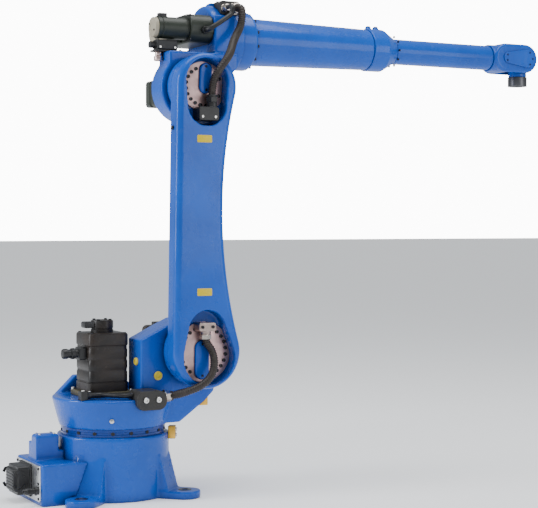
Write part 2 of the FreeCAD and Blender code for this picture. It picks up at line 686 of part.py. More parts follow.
def wrist_motor_caps():
    caps = []
    for rear, y in zip(MOTOR_REAR, MOTOR_Y):
        cap = rod((rear - CAP_LENGTH, y, WRIST_MOTOR_Z), X_AXIS, WRIST_MOTOR_RADIUS - 3, CAP_LENGTH)
        caps.append(bevel(cap, "X", rear - CAP_LENGTH, 4))
    return Part.makeCompound(caps)


TRAY_THICKNESS = 5.0
TRAY_REAR = 98.0


def connector_tray():
    """Thin black plate on the casting's deck that carries the wrist motors' connector."""
    return plate(TRAY_REAR, TRAY_REAR + 118, MOTOR_Y[0] - 24, MOTOR_Y[0] + 17, DECK_Z,
                 DECK_Z + TRAY_THICKNESS, Z_AXIS, 6)


def tray_connector():
    """Rectangular connector on the tray with its cable gland facing backwards."""
    low = DECK_Z + TRAY_THICKNESS
    body = plate(TRAY_REAR + 10, TRAY_REAR + 72, MOTOR_Y[0] - 20, MOTOR_Y[0] + 16, low, low + 30,
                 X_AXIS, 5)
    gland = rod((TRAY_REAR + 10, MOTOR_Y[0], low + 15), -X_AXIS, 10, 18)
    return union([body, gland])


TOP_BRACKET_X = HOUSING_FRONT - 24
TOP_BRACKET_Z = FOREARM_Z + 86
TOP_BRACKET_NEAR = -72.0
CABLE_X = TOP_BRACKET_X - 31


def top_hose_bracket(casting):
    """Black bracket on the shoulder of the housing, cut to the casting it sits on."""
    block = plate(CABLE_X - 14, TOP_BRACKET_X + 18, TOP_BRACKET_NEAR, -14,
                  TOP_BRACKET_Z - 20, TOP_BRACKET_Z + 22, Y_AXIS, 8)
    return block.cut(casting)


def top_unions():
    """Metal unions on the near face of the bracket, one for the hose, one for the cable."""
    hose_nut = rod((TOP_BRACKET_X, TOP_BRACKET_NEAR, TOP_BRACKET_Z), -Y_AXIS, HOSE_RADIUS + 3, 12)
    cable_nut = rod((CABLE_X, TOP_BRACKET_NEAR, TOP_BRACKET_Z), -Y_AXIS, CABLE_RADIUS + 2, 12)
    return Part.makeCompound([hose_nut, cable_nut])


def upper_harness():
    """Hose from the gland block, out over the rim of the upper hub, up to the top bracket."""
    passing = ARM_NEAR - HOSE_RADIUS - 5
    x = SHOULDER_X
    z = ELBOW_Z
    end = TOP_BRACKET_NEAR - 12
    route = [(UPPER_CLIP_X, UPPER_CLIP_Y, UPPER_CLIP_Z), (UPPER_CLIP_X, UPPER_CLIP_Y, z - 12),
             (x + 20, UPPER_CLIP_Y - 8, z + 26), (x + 38, passing, z + 60),
             (x + 66, passing + 14, z + 92), (x + 92, -172, z + 122), (x + 118, -140, z + 152),
             (x + 144, -126, z + 186), (TOP_BRACKET_X, end - 42, TOP_BRACKET_Z - 10),
             (TOP_BRACKET_X, end - 20, TOP_BRACKET_Z), (TOP_BRACKET_X, end, TOP_BRACKET_Z)]
    return hose(route, HOSE_RADIUS)


def motor_cable():
    """Cable from the wrist motors' housing to the top bracket, along the near side."""
    start = MOTOR_Y[0] - 40
    z = FOREARM_Z + 14
    end = TOP_BRACKET_NEAR - 12
    route = [(HOUSING_REAR - 30, start, z), (HOUSING_REAR - 30, start - 30, z),
             (HOUSING_REAR + 4, start - 36, z + 22), (CABLE_X, start - 32, z + 50),
             (CABLE_X, start - 30, TOP_BRACKET_Z), (CABLE_X, end, TOP_BRACKET_Z)]
    return hose(route, CABLE_RADIUS)


# ---------------------------------------------------------------- forearm

def forearm_collar():
    collar = rod((COLLAR_START, 0, FOREARM_Z), X_AXIS, COLLAR_RADIUS, COLLAR_LENGTH)
    return soften(collar, "X", TUBE_START, 10)


def forearm_tube():
    return Part.makeCone(TUBE_START_RADIUS, TUBE_END_RADIUS, TUBE_LENGTH,
                         Vector(TUBE_START, 0, FOREARM_Z), X_AXIS)


def forearm_end():
    """Flange at the end of the big tube, the two bosses on its top and the cone beyond."""
    radius = TUBE_END_RADIUS + 3
    ring = rod((TUBE_END, 0, FOREARM_Z), X_AXIS, radius, END_FLANGE_LENGTH)
    ring = soften(ring, "X", TUBE_END, 2)
    cone = Part.makeCone(radius, NARROW_RADIUS, CONE_LENGTH, Vector(CONE_START, 0, FOREARM_Z), X_AXIS)
    bosses = [rod((TUBE_END + offset, 0, FOREARM_Z), Z_AXIS, 9, radius + 7) for offset in (13, 40)]
    return union([ring, cone] + bosses)


def wrist_tube():
    return rod((NARROW_START, 0, FOREARM_Z), X_AXIS, NARROW_RADIUS, YOKE_START - NARROW_START)


def wrist_yoke():
    """Fork at the end of the narrow tube, with a round cheek on each side of the wrist."""
    neck = rod((YOKE_START, 0, FOREARM_Z), X_AXIS, NARROW_RADIUS + 4, 50)
    fork = rounded_hull(YOKE_START + YOKE_RADIUS, FOREARM_Z, YOKE_RADIUS, REACH, FOREARM_Z, YOKE_RADIUS,
                        -YOKE_HALF_WIDTH, YOKE_HALF_WIDTH)
    for side in (-1, 1):
        fork = soften(fork, "Y", side * YOKE_HALF_WIDTH, 10)
    inside = YOKE_HALF_WIDTH - CHEEK_THICKNESS
    slot = box(REACH - YOKE_SLOT_DEPTH, REACH + 2 * YOKE_RADIUS, -inside, inside, FOREARM_Z - 2 * YOKE_RADIUS,
               FOREARM_Z + 2 * YOKE_RADIUS)
    return union([neck, fork]).cut(slot)


def wrist_side_covers():
    covers = []
    for side in (-1, 1):
        inner = side * YOKE_HALF_WIDTH
        outer = side * (YOKE_HALF_WIDTH + 4)
        cover = rounded_hull(YOKE_START + 50, FOREARM_Z, 18, REACH, FOREARM_Z, 30,
                             min(inner, outer), max(inner, outer))
        covers.append(soften(cover, "Y", outer, 1.5))
    return Part.makeCompound(covers)


# ---------------------------------------------------------------- wrist

FLANGE_FACE_Z = FOREARM_Z - FLANGE_DROP
WRIST_NECK_END = FLANGE_FACE_Z + FLANGE_THICKNESS + SEAT_GAP


def wrist_body():
    """Barrel between the yoke's cheeks, its bearing bosses and the neck to the tool flange."""
    inside = YOKE_HALF_WIDTH - CHEEK_THICKNESS
    half = inside - 6
    barrel = rod((REACH, -half, FOREARM_Z), Y_AXIS, WRIST_RADIUS, 2 * half)
    bosses = rod((REACH, -inside + SEAT_GAP, FOREARM_Z), Y_AXIS, 28, 2 * (inside - SEAT_GAP))
    neck = rod((REACH, 0, WRIST_NECK_END), Z_AXIS, FLANGE_RADIUS - 2, FOREARM_Z - WRIST_NECK_END)
    return union([barrel, bosses, neck])


def tool_flange():
    """Disc with the bolt circle and pilot bore that a tool is fastened to."""
    disc = rod((REACH, 0, FLANGE_FACE_Z), Z_AXIS, FLANGE_RADIUS, FLANGE_THICKNESS)
    disc = disc.cut(rod((REACH, 0, FLANGE_FACE_Z - 1), Z_AXIS, FLANGE_PILOT_RADIUS, 7))
    for number in range(4):
        turn = math.radians(45 + 90 * number)
        x = REACH + FLANGE_PITCH_RADIUS * math.cos(turn)
        y = FLANGE_PITCH_RADIUS * math.sin(turn)
        disc = disc.cut(rod((x, y, FLANGE_FACE_Z - 1), Z_AXIS, FLANGE_TAP / 2, 13))
    return disc


# ---------------------------------------------------------------- pieces

def all_pieces():
    base = base_casting()
    turret = turret_casting()
    elbow = elbow_casting()
    return {
        "base_casting": base,
        "neck_ring": neck_ring(),
        "rotation_stop": rotation_stop(),
        "connector_box": connector_box(base),
        "connector_plate": connector_plate(),
        "power_connector": power_connector(),
        "connector_levers": connector_levers(),
        "signal_connector": signal_connector(),
        "turret_casting": turret,
        "turn_motor_plate": turn_motor_plate(),
        "turn_motor": turn_motor(),
        "turn_motor_encoder": turn_motor_encoder(),
        "turn_motor_sockets": turn_motor_sockets(),
        "shoulder_motor": shoulder_motor(),
        "shoulder_motor_encoder": shoulder_motor_encoder(),
        "shoulder_stop": shoulder_stop(),
        "grease_plugs": grease_plugs(),
        "hose_clamp": hose_clamp(turret),
        "cable_gland": cable_gland(),
        "turret_cable": turret_cable(),
        "upper_arm_casting": upper_arm_casting(),
        "lower_reducer_flange": lower_reducer_flange(),
        "lower_hub_cover": lower_hub_cover(),
        "lower_hose_bracket": lower_hose_bracket(),
        "upper_reducer_flange": upper_reducer_flange(),
        "upper_hub_cover": upper_hub_cover(),
        "upper_cable_gland": upper_cable_gland(),
        "lower_harness": lower_harness(),
        "upper_harness": upper_harness(),
        "elbow_casting": elbow,
        "elbow_motor": elbow_motor(),
        "elbow_motor_encoder": elbow_motor_encoder(),
        "wrist_motor_block": wrist_motor_block(),
        "wrist_motor_near": wrist_motors([0]),
        "wrist_motors_short": wrist_motors([1, 2]),
        "wrist_motor_caps": wrist_motor_caps(),
        "connector_tray": connector_tray(),
        "tray_connector": tray_connector(),
        "top_hose_bracket": top_hose_bracket(elbow),
        "top_unions": top_unions(),
        "motor_cable": motor_cable(),
        "forearm_collar": forearm_collar(),
        "forearm_tube": forearm_tube(),
        "forearm_end": forearm_end(),
        "wrist_tube": wrist_tube(),
        "wrist_yoke": wrist_yoke(),
        "wrist_side_covers": wrist_side_covers(),
        "wrist_body": wrist_body(),
        "tool_flange": tool_flange(),
    }


os.makedirs("parts", exist_ok=True)
for name, shape in all_pieces().items():
    shape.exportStep("parts/" + name + ".step")
    print(name, "solids", len(shape.Solids), "valid", shape.isValid(),
          "litres", round(shape.Volume / 1e6, 3))
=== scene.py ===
import math
import bmesh
import bpy
from mathutils import Matrix, Vector


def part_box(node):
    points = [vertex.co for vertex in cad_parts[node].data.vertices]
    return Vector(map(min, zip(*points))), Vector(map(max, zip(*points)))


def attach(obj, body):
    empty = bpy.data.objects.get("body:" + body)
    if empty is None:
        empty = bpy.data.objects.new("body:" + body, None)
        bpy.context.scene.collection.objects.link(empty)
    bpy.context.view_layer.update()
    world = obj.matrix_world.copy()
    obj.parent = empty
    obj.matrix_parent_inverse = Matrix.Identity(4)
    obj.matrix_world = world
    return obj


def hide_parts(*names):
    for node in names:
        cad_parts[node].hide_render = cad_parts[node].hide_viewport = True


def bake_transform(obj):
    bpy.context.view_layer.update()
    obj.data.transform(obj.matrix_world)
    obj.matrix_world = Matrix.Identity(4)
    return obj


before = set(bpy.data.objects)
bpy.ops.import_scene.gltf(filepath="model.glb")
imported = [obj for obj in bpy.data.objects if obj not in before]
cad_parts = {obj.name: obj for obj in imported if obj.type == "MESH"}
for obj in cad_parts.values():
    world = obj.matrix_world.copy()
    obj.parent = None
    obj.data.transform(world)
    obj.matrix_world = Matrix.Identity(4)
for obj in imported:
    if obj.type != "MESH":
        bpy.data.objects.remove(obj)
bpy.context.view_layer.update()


# ------------------------------------------------------------------ painted iron of the base
# The base, turret, arm and elbow are iron castings under thick glossy blue paint. The paint
# lies in a faint orange peel, dulls a little in patches, and carries painted shade in the corners.

class Wire:
    """A shader socket that takes part in arithmetic."""

    def __init__(self, nodes, socket):
        self.nodes = nodes
        self.socket = socket

    def maths(self, operation, other=None, third=None):
        return self.nodes.add("ShaderNodeMath", {"operation": operation}, [self, other, third])

    def __add__(self, other):
        return self.maths("ADD", other)

    def __radd__(self, other):
        return self.maths("ADD", other)

    def __mul__(self, other):
        return self.maths("MULTIPLY", other)

    def __rmul__(self, other):
        return self.maths("MULTIPLY", other)

    def __sub__(self, other):
        return self.maths("SUBTRACT", other)

    def __rsub__(self, other):
        return self.nodes.add("ShaderNodeMath", {"operation": "SUBTRACT"}, [other, self])


class Finish:
    """One material: its node tree, and the object coordinates its patterns lie in."""

    def __init__(self, name, metallic=0.0, coat=0.0, coat_roughness=0.05, specular=0.5):
        self.material = bpy.data.materials.new(name)
        self.material.use_nodes = True
        self.tree = self.material.node_tree
        self.shader = self.tree.nodes["Principled BSDF"]
        self.shader.inputs["Metallic"].default_value = metallic
        self.shader.inputs["Coat Weight"].default_value = coat
        self.shader.inputs["Coat Roughness"].default_value = coat_roughness
        self.shader.inputs["Specular IOR Level"].default_value = specular
        place = self.tree.nodes.new("ShaderNodeTexCoord")
        self.place = Wire(self, place.outputs["Object"])

    def put(self, socket, value):
        if value is None:
            return
        if isinstance(value, Wire):
            self.tree.links.new(value.socket, socket)
        elif socket.type == "RGBA" and len(value) == 3:
            socket.default_value = (*value, 1)
        else:
            socket.default_value = value

    def add(self, kind, settings, values, output=0):
        node = self.tree.nodes.new(kind)
        for key, value in settings.items():
            setattr(node, key, value)
        pairs = values.items() if isinstance(values, dict) else enumerate(values)
        for key, value in pairs:
            self.put(node.inputs[key], value)
        return Wire(self, node.outputs[output])

    def noise(self, scale, detail=2.0, roughness=0.5, stretch=None):
        where = self.place
        if stretch:
            where = self.add("ShaderNodeMapping", {}, {"Vector": where, "Scale": stretch})
        return self.add("ShaderNodeTexNoise", {},
                        {"Vector": where, "Scale": scale, "Detail": detail, "Roughness": roughness})

    def ramp(self, value, low, high, to_low=0.0, to_high=1.0):
        return self.add("ShaderNodeMapRange", {"clamp": True}, [value, low, high, to_low, to_high])

    def mix(self, share, first, second):
        node = self.tree.nodes.new("ShaderNodeMix")
        node.data_type = "RGBA"
        self.put(node.inputs[0], share)
        self.put(node.inputs[6], first)
        self.put(node.inputs[7], second)
        return Wire(self, node.outputs[2])

    def corners(self, distance):
        """Occlusion mask for painted shade: 1 in the open, falling to 0 in corners and under
        overhangs.
        """
        node = self.tree.nodes.new("ShaderNodeAmbientOcclusion")
        node.samples = 6
        node.inputs["Distance"].default_value = distance
        return Wire(self, node.outputs["AO"])

    def height(self, value, depth, before=None):
        return self.add("ShaderNodeBump", {},
                        {"Height": value, "Distance": depth, "Strength": 1.0, "Normal": before})

    def finish(self, colour, roughness, normal=None):
        self.put(self.shader.inputs["Base Color"], colour)
        self.put(self.shader.inputs["Roughness"], roughness)
        if normal:
            self.put(self.shader.inputs["Normal"], normal)
        return self.material


def casting_paint(name, bright, deep, corner_shade_colour):
    paint = Finish(name, coat=0.22, coat_roughness=0.08, specular=0.22)
    patches = paint.ramp(paint.noise(7.0, 3.0), 0.35, 0.68)
    tone = paint.mix(patches, bright, deep)
    # Painted shade: an occlusion mask darkens the paint toward the corner shade colour in corners
    # and under overhangs.
    corner_shade = paint.ramp(paint.corners(0.03), 0.35, 0.95, 1.0, 0.0)
    tone = paint.mix(corner_shade * 0.75, tone, corner_shade_colour)
    dust = paint.ramp(paint.noise(42.0, 4.0, 0.62), 0.56, 0.80)
    tone = paint.mix(dust * 0.05, tone, (0.30, 0.42, 0.62))
    sheen = paint.ramp(paint.noise(16.0, 4.0), 0.3, 0.75, 0.22, 0.36) + dust * 0.12
    peel = paint.noise(420.0, 2.0)
    skin = paint.noise(60.0, 3.0)
    normal = paint.height(peel, 0.00010)
    normal = paint.height(skin, 0.00045, normal)
    return paint.finish(tone, sheen, normal)


blue_paint = casting_paint("blue_casting_paint", (0.0, 0.088, 0.50), (0.0, 0.070, 0.41),
                           (0.0, 0.016, 0.11))


def plain_copy(node):
    """A copy of the node's mesh, welded into one skin."""
    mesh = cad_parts[node].data.copy()
    work = bmesh.new()
    work.from_mesh(mesh)
    bmesh.ops.remove_doubles(work, verts=work.verts, dist=0.00002)
    work.to_mesh(mesh)
    work.free()
    if mesh.has_custom_normals:
        mesh.attributes.remove(mesh.attributes["custom_normal"])
    return mesh


def linked(name, data):
    thing = bpy.data.objects.new(name, data)
    bpy.context.scene.collection.objects.link(thing)
    return thing


def baked(thing, name, material):
    """A new mesh object from an object with its modifiers, which is removed."""
    graph = bpy.context.evaluated_depsgraph_get()
    mesh = bpy.data.meshes.new_from_object(thing.evaluated_get(graph))
    bpy.data.objects.remove(thing)
    mesh.materials.clear()
    mesh.materials.append(material)
    mesh.name = name
    return linked(name, mesh)


def hand_over(piece, body, slot, *nodes):
    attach(piece, body)
    if nodes:
        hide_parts(*nodes)
    return piece


CAST_GRAIN = 0.0030


def cast(node, body, grain=CAST_GRAIN, material=blue_paint, slot="blue_paint", passes=6):
    """A cast piece: the node's own shape with every edge and inner corner rounded as cast."""
    thing = linked("rough_" + node, plain_copy(node))
    remesh = thing.modifiers.new("grain", "REMESH")
    remesh.mode = "VOXEL"
    remesh.voxel_size = grain
    remesh.use_smooth_shade = True
    smooth = thing.modifiers.new("rounding", "SMOOTH")
    smooth.factor = 0.5
    smooth.iterations = passes
    return hand_over(baked(thing, node + "_cast", material), body, slot, node)


BASE = "base"
cast("base_casting", BASE)
cast("connector_box", BASE, 0.0026)


# ------------------------------------------------------------------ screws of the base
# Black socket-head screws hold the covers and the gear ring, and their heads stand proud. A
# screw head is one small turned blank with a sunk socket, set wherever a hole is drilled.

X, Y, Z = Vector((1, 0, 0)), Vector((0, 1, 0)), Vector((0, 0, 1))


def start_group(name, sizes, count):
    """An empty node group with named sizes, one named count and a finish."""
    tree = bpy.data.node_groups.new(name, "GeometryNodeTree")
    kinds = [("Geometry", "Geometry"), *[(size, "Float") for size in sizes], (count, "Int"),
             ("Finish", "Material")]
    for label, kind in kinds:
        tree.interface.new_socket(label, in_out="INPUT", socket_type="NodeSocket" + kind)
    tree.interface.new_socket("Geometry", in_out="OUTPUT", socket_type="NodeSocketGeometry")
    return tree, tree.nodes.new, tree.links.new, tree.nodes.new("NodeGroupInput")


def end_group(add, join, given, mesh):
    """Make the instances real, give them the finish and send them out."""
    solid = add("GeometryNodeRealizeInstances")
    join(mesh, solid.inputs[0])
    coat = add("GeometryNodeSetMaterial")
    join(solid.outputs[0], coat.inputs["Geometry"])
    join(given.outputs["Finish"], coat.inputs["Material"])
    join(coat.outputs[0], add("NodeGroupOutput").inputs[0])


def apply_group(thing, group, values):
    modifier = thing.modifiers.new(group.name, "NODES")
    modifier.node_group = group
    for item in group.interface.items_tree:
        if item.in_out == "INPUT" and item.name in values:
            modifier[item.identifier] = values[item.name]


def screw_tree():
    tree, add, join, given = start_group(
        "screw_heads", ("Head Radius", "Head Height", "Socket Share", "Socket Depth"), "Sides")
    blank = add("GeometryNodeMeshCircle")
    blank.fill_type = "NGON"
    join(given.outputs["Sides"], blank.inputs["Vertices"])
    join(given.outputs["Head Radius"], blank.inputs["Radius"])
    up = add("FunctionNodeInputVector")
    up.vector = (0, 0, 1)

    def share(socket, factor):
        node = add("ShaderNodeMath")
        node.operation = "MULTIPLY"
        join(socket, node.inputs[0])
        node.inputs[1].default_value = factor
        return node.outputs[0]

    def grow(mesh, top, height):
        node = add("GeometryNodeExtrudeMesh")
        node.inputs["Individual"].default_value = False
        join(mesh, node.inputs["Mesh"])
        if top:
            join(top, node.inputs["Selection"])
        join(up.outputs[0], node.inputs["Offset"])
        join(height, node.inputs["Offset Scale"])
        return node.outputs["Mesh"], node.outputs["Top"]

    def narrow(mesh, top, factor):
        node = add("GeometryNodeScaleElements")
        join(mesh, node.inputs["Geometry"])
        join(top, node.inputs["Selection"])
        if isinstance(factor, float):
            node.inputs["Scale"].default_value = factor
        else:
            join(factor, node.inputs["Scale"])
        return node.outputs["Geometry"]

    height = given.outputs["Head Height"]
    mesh, top = grow(blank.outputs["Mesh"], None, share(height, 0.86))
    mesh, top = grow(mesh, top, share(height, 0.14))
    mesh = narrow(mesh, top, 0.90)
    mesh, top = grow(mesh, top, share(height, 0.001))
    mesh = narrow(mesh, top, given.outputs["Socket Share"])
    mesh, top = grow(mesh, top, share(given.outputs["Socket Depth"], -1.0))
    facing = add("GeometryNodeInputNamedAttribute")
    facing.data_type = "FLOAT_VECTOR"
    facing.inputs["Name"].default_value = "facing"
    turn_to = add("FunctionNodeAlignRotationToVector")
    turn_to.axis = "Z"
    join(facing.outputs["Attribute"], turn_to.inputs["Vector"])
    place = add("GeometryNodeInstanceOnPoints")
    join(given.outputs["Geometry"], place.inputs["Points"])
    join(mesh, place.inputs["Instance"])
    join(turn_to.outputs[0], place.inputs["Rotation"])
    end_group(add, join, given, place.outputs[0])
    return tree


SCREWS = screw_tree()


def smooth_faces(mesh, angle=35):
    """Shade the faces smooth, except over edges that turn by more than the angle."""
    for face in mesh.polygons:
        face.use_smooth = True
    mesh.set_sharp_from_angle(angle=math.radians(angle))


def steel(name, colour, roughness, streak=None, metallic=1.0, grain=90.0, depth=0.00006):
    metal = Finish(name, metallic=metallic)
    cloud = metal.noise(grain, 4.0, 0.6, streak)
    stain = metal.ramp(metal.noise(23.0, 3.0), 0.40, 0.75)
    dark = tuple(part * 0.55 for part in colour)
    tone = metal.mix(metal.ramp(cloud, 0.3, 0.75) * 0.5 + stain * 0.3, colour, dark)
    rough = metal.ramp(cloud, 0.25, 0.8, roughness - 0.08, roughness + 0.12)
    return metal.finish(tone, rough, metal.height(cloud, depth))


black_screw = steel("black_oxide_screw", (0.045, 0.045, 0.050), 0.38)
bright_screw = steel("zinc_screw", (0.78, 0.77, 0.74), 0.26)
dark_steel = steel("blackened_steel", (0.12, 0.12, 0.13), 0.36, (1, 1, 14))


def screws(name, body, spots, radius, height, material=black_screw, slot="dark_steel", bore=0.52):
    """Heads at (point, facing) spots, all on one body."""
    seats = bpy.data.meshes.new(name)
    seats.from_pydata([point for point, facing in spots], [], [])
    facing = seats.attributes.new("facing", "FLOAT_VECTOR", "POINT")
    facing.data.foreach_set("vector", [part for spot in spots for part in spot[1]])
    thing = linked("seats_" + name, seats)
    apply_group(thing, SCREWS, {"Head Radius": radius, "Head Height": height, "Socket Share": bore,
                                "Socket Depth": height * 0.55, "Sides": 20, "Finish": material})
    piece = hand_over(baked(thing, name, material), body, slot)
    work = bmesh.new()
    work.from_mesh(piece.data)
    bmesh.ops.remove_doubles(work, verts=work.verts, dist=0.000002)
    bmesh.ops.holes_fill(work, edges=work.edges, sides=0)
    bmesh.ops.recalc_face_normals(work, faces=work.faces)
    work.to_mesh(piece.data)
    work.free()
    smooth_faces(piece.data)


def square(centre, axis, across, reach):
    """Four spots at the corners of a square, which face along the axis."""
    side = axis.cross(across)
    return [(centre + (across * a + side * b) * reach, axis) for a in (-1, 1) for b in (-1, 1)]


def circle(centre, axis, start, radius, count, first=0.0):
    """Spots round an axis that face along it; start is the direction of the angle 0."""
    side = axis.cross(start)
    spots = []
    for number in range(count):
        turn_by = math.radians(first + 360.0 * number / count)
        out = start * math.cos(turn_by) + side * math.sin(turn_by)
        spots.append((centre + out * radius, axis))
    return spots


# Painted shade: the neck ring under the drum gets a darker copy of the blue casting paint.
shaded_neck_paint = casting_paint("blue_ring_shaded_paint", (0.0, 0.045, 0.30), (0.0, 0.038, 0.26),
                           (0.0, 0.010, 0.09))

neck_low, neck_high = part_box("neck_ring")
neck_radius = neck_high.x
neck_middle = (neck_low.z + neck_high.z) / 2


def lay(centre, axis):
    """Where a shape turned about local Z goes, to stand on the centre along an axis."""
    return Matrix.Translation(centre) @ Z.rotation_difference(axis).to_matrix().to_4x4()


def turn(work, profile, centre, axis, sides=64):
    """A shape turned on a lathe: (radius, height) pairs from one end to the other."""
    there = lay(centre, axis)
    rings = []
    for radius, height in profile:
        count = sides if radius > 1e-7 else 1
        ring = []
        for number in range(count):
            angle = 2 * math.pi * number / sides
            spot = Vector((radius * math.cos(angle), radius * math.sin(angle), height))
            ring.append(work.verts.new(there @ spot))
        rings.append(ring)
    for low, high in zip(rings, rings[1:]):
        for number in range(sides):
            after = (number + 1) % sides
            corners = [low[number % len(low)], low[after % len(low)],
                       high[after % len(high)], high[number % len(high)]]
            corners = list(dict.fromkeys(corners))
            if len(corners) > 2:
                work.faces.new(corners)


def outline(half_a, half_b, corner, steps=6):
    points = []
    for sign_a, sign_b, start in ((1, 1, 0), (-1, 1, 90), (-1, -1, 180), (1, -1, 270)):
        for step in range(steps + 1):
            angle = math.radians(start + 90 * step / steps)
            points.append((sign_a * (half_a - corner) + corner * math.cos(angle),
                           sign_b * (half_b - corner) + corner * math.sin(angle)))
    return points


def stack(work, profile, centre, axis, across, steps=6):
    """Rounded rectangles (half size, half size, corner, height) joined up along an axis."""
    third = axis.cross(across)
    rings = []
    for half_a, half_b, corner, height in profile:
        rings.append([work.verts.new(centre + across * a + third * b + axis * height)
                      for a, b in outline(half_a, half_b, corner, steps)])
    for low, high in zip(rings, rings[1:]):
        for number in range(len(low)):
            after = (number + 1) % len(low)
            work.faces.new([low[number], low[after], high[after], high[number]])
    work.faces.new(rings[0])
    work.faces.new(rings[-1])


def soft_plate(half_a, half_b, corner, bottom, top, edge):
    """The rings of a plate whose two rims are rounded by the edge radius."""
    rings = []
    for height, out in ((bottom, -1), (top, 1)):
        turns = (90, 60, 30, 0) if out < 0 else (0, 30, 60, 90)
        for degrees in turns:
            inset = edge * (1 - math.cos(math.radians(degrees)))
            drop = edge * (1 - math.sin(math.radians(degrees)))
            rings.append((half_a - inset, half_b - inset, max(corner - inset, edge * 0.2),
                          height - out * drop))
    return rings


def made(name, work, material, body, slot, *nodes):
    """Close, orient and shade the work, and hand it over as a finished piece."""
    bmesh.ops.remove_doubles(work, verts=work.verts, dist=0.000001)
    bmesh.ops.recalc_face_normals(work, faces=work.faces)
    mesh = bpy.data.meshes.new(name)
    work.to_mesh(mesh)
    work.free()
    mesh.materials.append(material)
    smooth_faces(mesh)
    return hand_over(linked(name, mesh), body, slot, *nodes)


def turned(name, profile, centre, axis, sides, material, body, slot, *nodes):
    work = bmesh.new()
    turn(work, profile, centre, axis, sides)
    return made(name, work, material, body, slot, *nodes)


turned("neck_ring_turned",
       [(0, neck_low.z), (neck_radius, neck_low.z), (neck_radius, neck_middle - 0.004),
        (neck_radius - 0.002, neck_middle - 0.003), (neck_radius - 0.002, neck_middle + 0.003),
        (neck_radius, neck_middle + 0.004), (neck_radius, neck_high.z), (0, neck_high.z)],
       Vector((0, 0, 0)), Z, 128, shaded_neck_paint, BASE, "dark_steel", "neck_ring")
neck_spots = []
for number in range(18):
    angle = math.radians(8 + 20 * number)
    out = Vector((math.cos(angle), math.sin(angle), 0))
    neck_spots.append((out * (neck_radius - 0.0022) + Z * neck_middle, out))
screws("neck_ring_screws", BASE, neck_spots, 0.0052, 0.0026)

foot_radius = 0.155
for_feet = [Vector((across * foot_radius, along * foot_radius, 0.022))
            for across in (-1, 1) for along in (-1, 1)]
seat_work = bmesh.new()
for spot in for_feet:
    turn(seat_work,
         [(0.0098, 0.0001), (0.0185, 0.0001), (0.0185, 0.0006), (0.0180, 0.0010), (0.0103, 0.0010),
          (0.0098, 0.0006), (0.0098, 0.0001)],
         spot, Z, 40)
made("foot_spot_faces", seat_work, dark_steel, BASE, "blue_paint")


# ------------------------------------------------------------------ rotation stop
# A yellow chromated steel block on the column that a peg under the turret runs against. Two
# screws hold it to the column.

chromate = steel("yellow_chromate_steel", (0.72, 0.42, 0.07), 0.34, depth=0.0001)


def trim(node, body, edge, material, slot):
    """A machined or moulded piece: the node's own shape with its sharp edges broken."""
    mesh = plain_copy(node)
    work = bmesh.new()
    work.from_mesh(mesh)
    bmesh.ops.dissolve_limit(work, angle_limit=math.radians(0.6), verts=work.verts,
                             edges=work.edges)
    work.to_mesh(mesh)
    work.free()
    thing = linked("sharp_" + node, mesh)
    bevel = thing.modifiers.new("edges", "BEVEL")
    bevel.width = edge
    bevel.segments = 3
    bevel.limit_method = "ANGLE"
    bevel.angle_limit = math.radians(32)
    bevel.use_clamp_overlap = True
    piece = hand_over(baked(thing, node + "_trimmed", material), body, slot, node)
    smooth_faces(piece.data, 32)


trim("rotation_stop", BASE, 0.0012, chromate, "brass")
stop_low, stop_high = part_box("rotation_stop")
stop_out = Vector(((stop_low.x + stop_high.x) / 2, (stop_low.y + stop_high.y) / 2, 0)).normalized()
stop_face = 0.180
screws("rotation_stop_screws", BASE,
       [(stop_out * (stop_face - 0.0004) + Z * (stop_low.z + rise), stop_out)
        for rise in (0.010, 0.026)],
       0.0048, 0.0042, bright_screw)


# ------------------------------------------------------------------ connector panel
# A bare aluminium sheet screwed to the back of the connector box. It carries the black power
# connector with its two hooked latches, the round signal connector and three blanking plugs.

panel_metal = steel("brushed_panel", (0.80, 0.81, 0.83), 0.30, (1, 1, 40), depth=0.00003)


def plastic(name, colour, roughness, grain=700.0, depth=0.00008, fleck=0.0):
    moulded = Finish(name, specular=0.45)
    grit = moulded.noise(grain, 3.0, 0.6)
    rub = moulded.ramp(moulded.noise(35.0, 4.0, 0.6), 0.45, 0.8)
    pale = tuple(min(1, part * 1.5 + 0.015) for part in colour)
    tone = moulded.mix(rub * (0.35 + fleck), colour, pale)
    rough = moulded.ramp(rub, 0.0, 1.0, roughness, roughness + 0.15)
    return moulded.finish(tone, rough, moulded.height(grit, depth))


black_plastic = plastic("black_moulding", (0.012, 0.012, 0.013), 0.38)
dust_plug = plastic("grey_blanking_plug", (0.10, 0.10, 0.11), 0.5)

panel_low, panel_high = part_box("connector_plate")
panel_x = panel_low.x
trim("connector_plate", BASE, 0.0006, panel_metal, "aluminium_plate")
inset = 0.008
panel_holes = [(y, z) for y in (panel_low.y + inset, 0.0, panel_high.y - inset)
               for z in (panel_low.z + inset, panel_high.z - inset)]
panel_holes += [(panel_low.y + inset, 0.061), (panel_high.y - inset, 0.061)]
screws("panel_screws", BASE,
       [(Vector((panel_x + 0.0002, y, z)), -X) for y, z in panel_holes],
       0.0038, 0.0024)

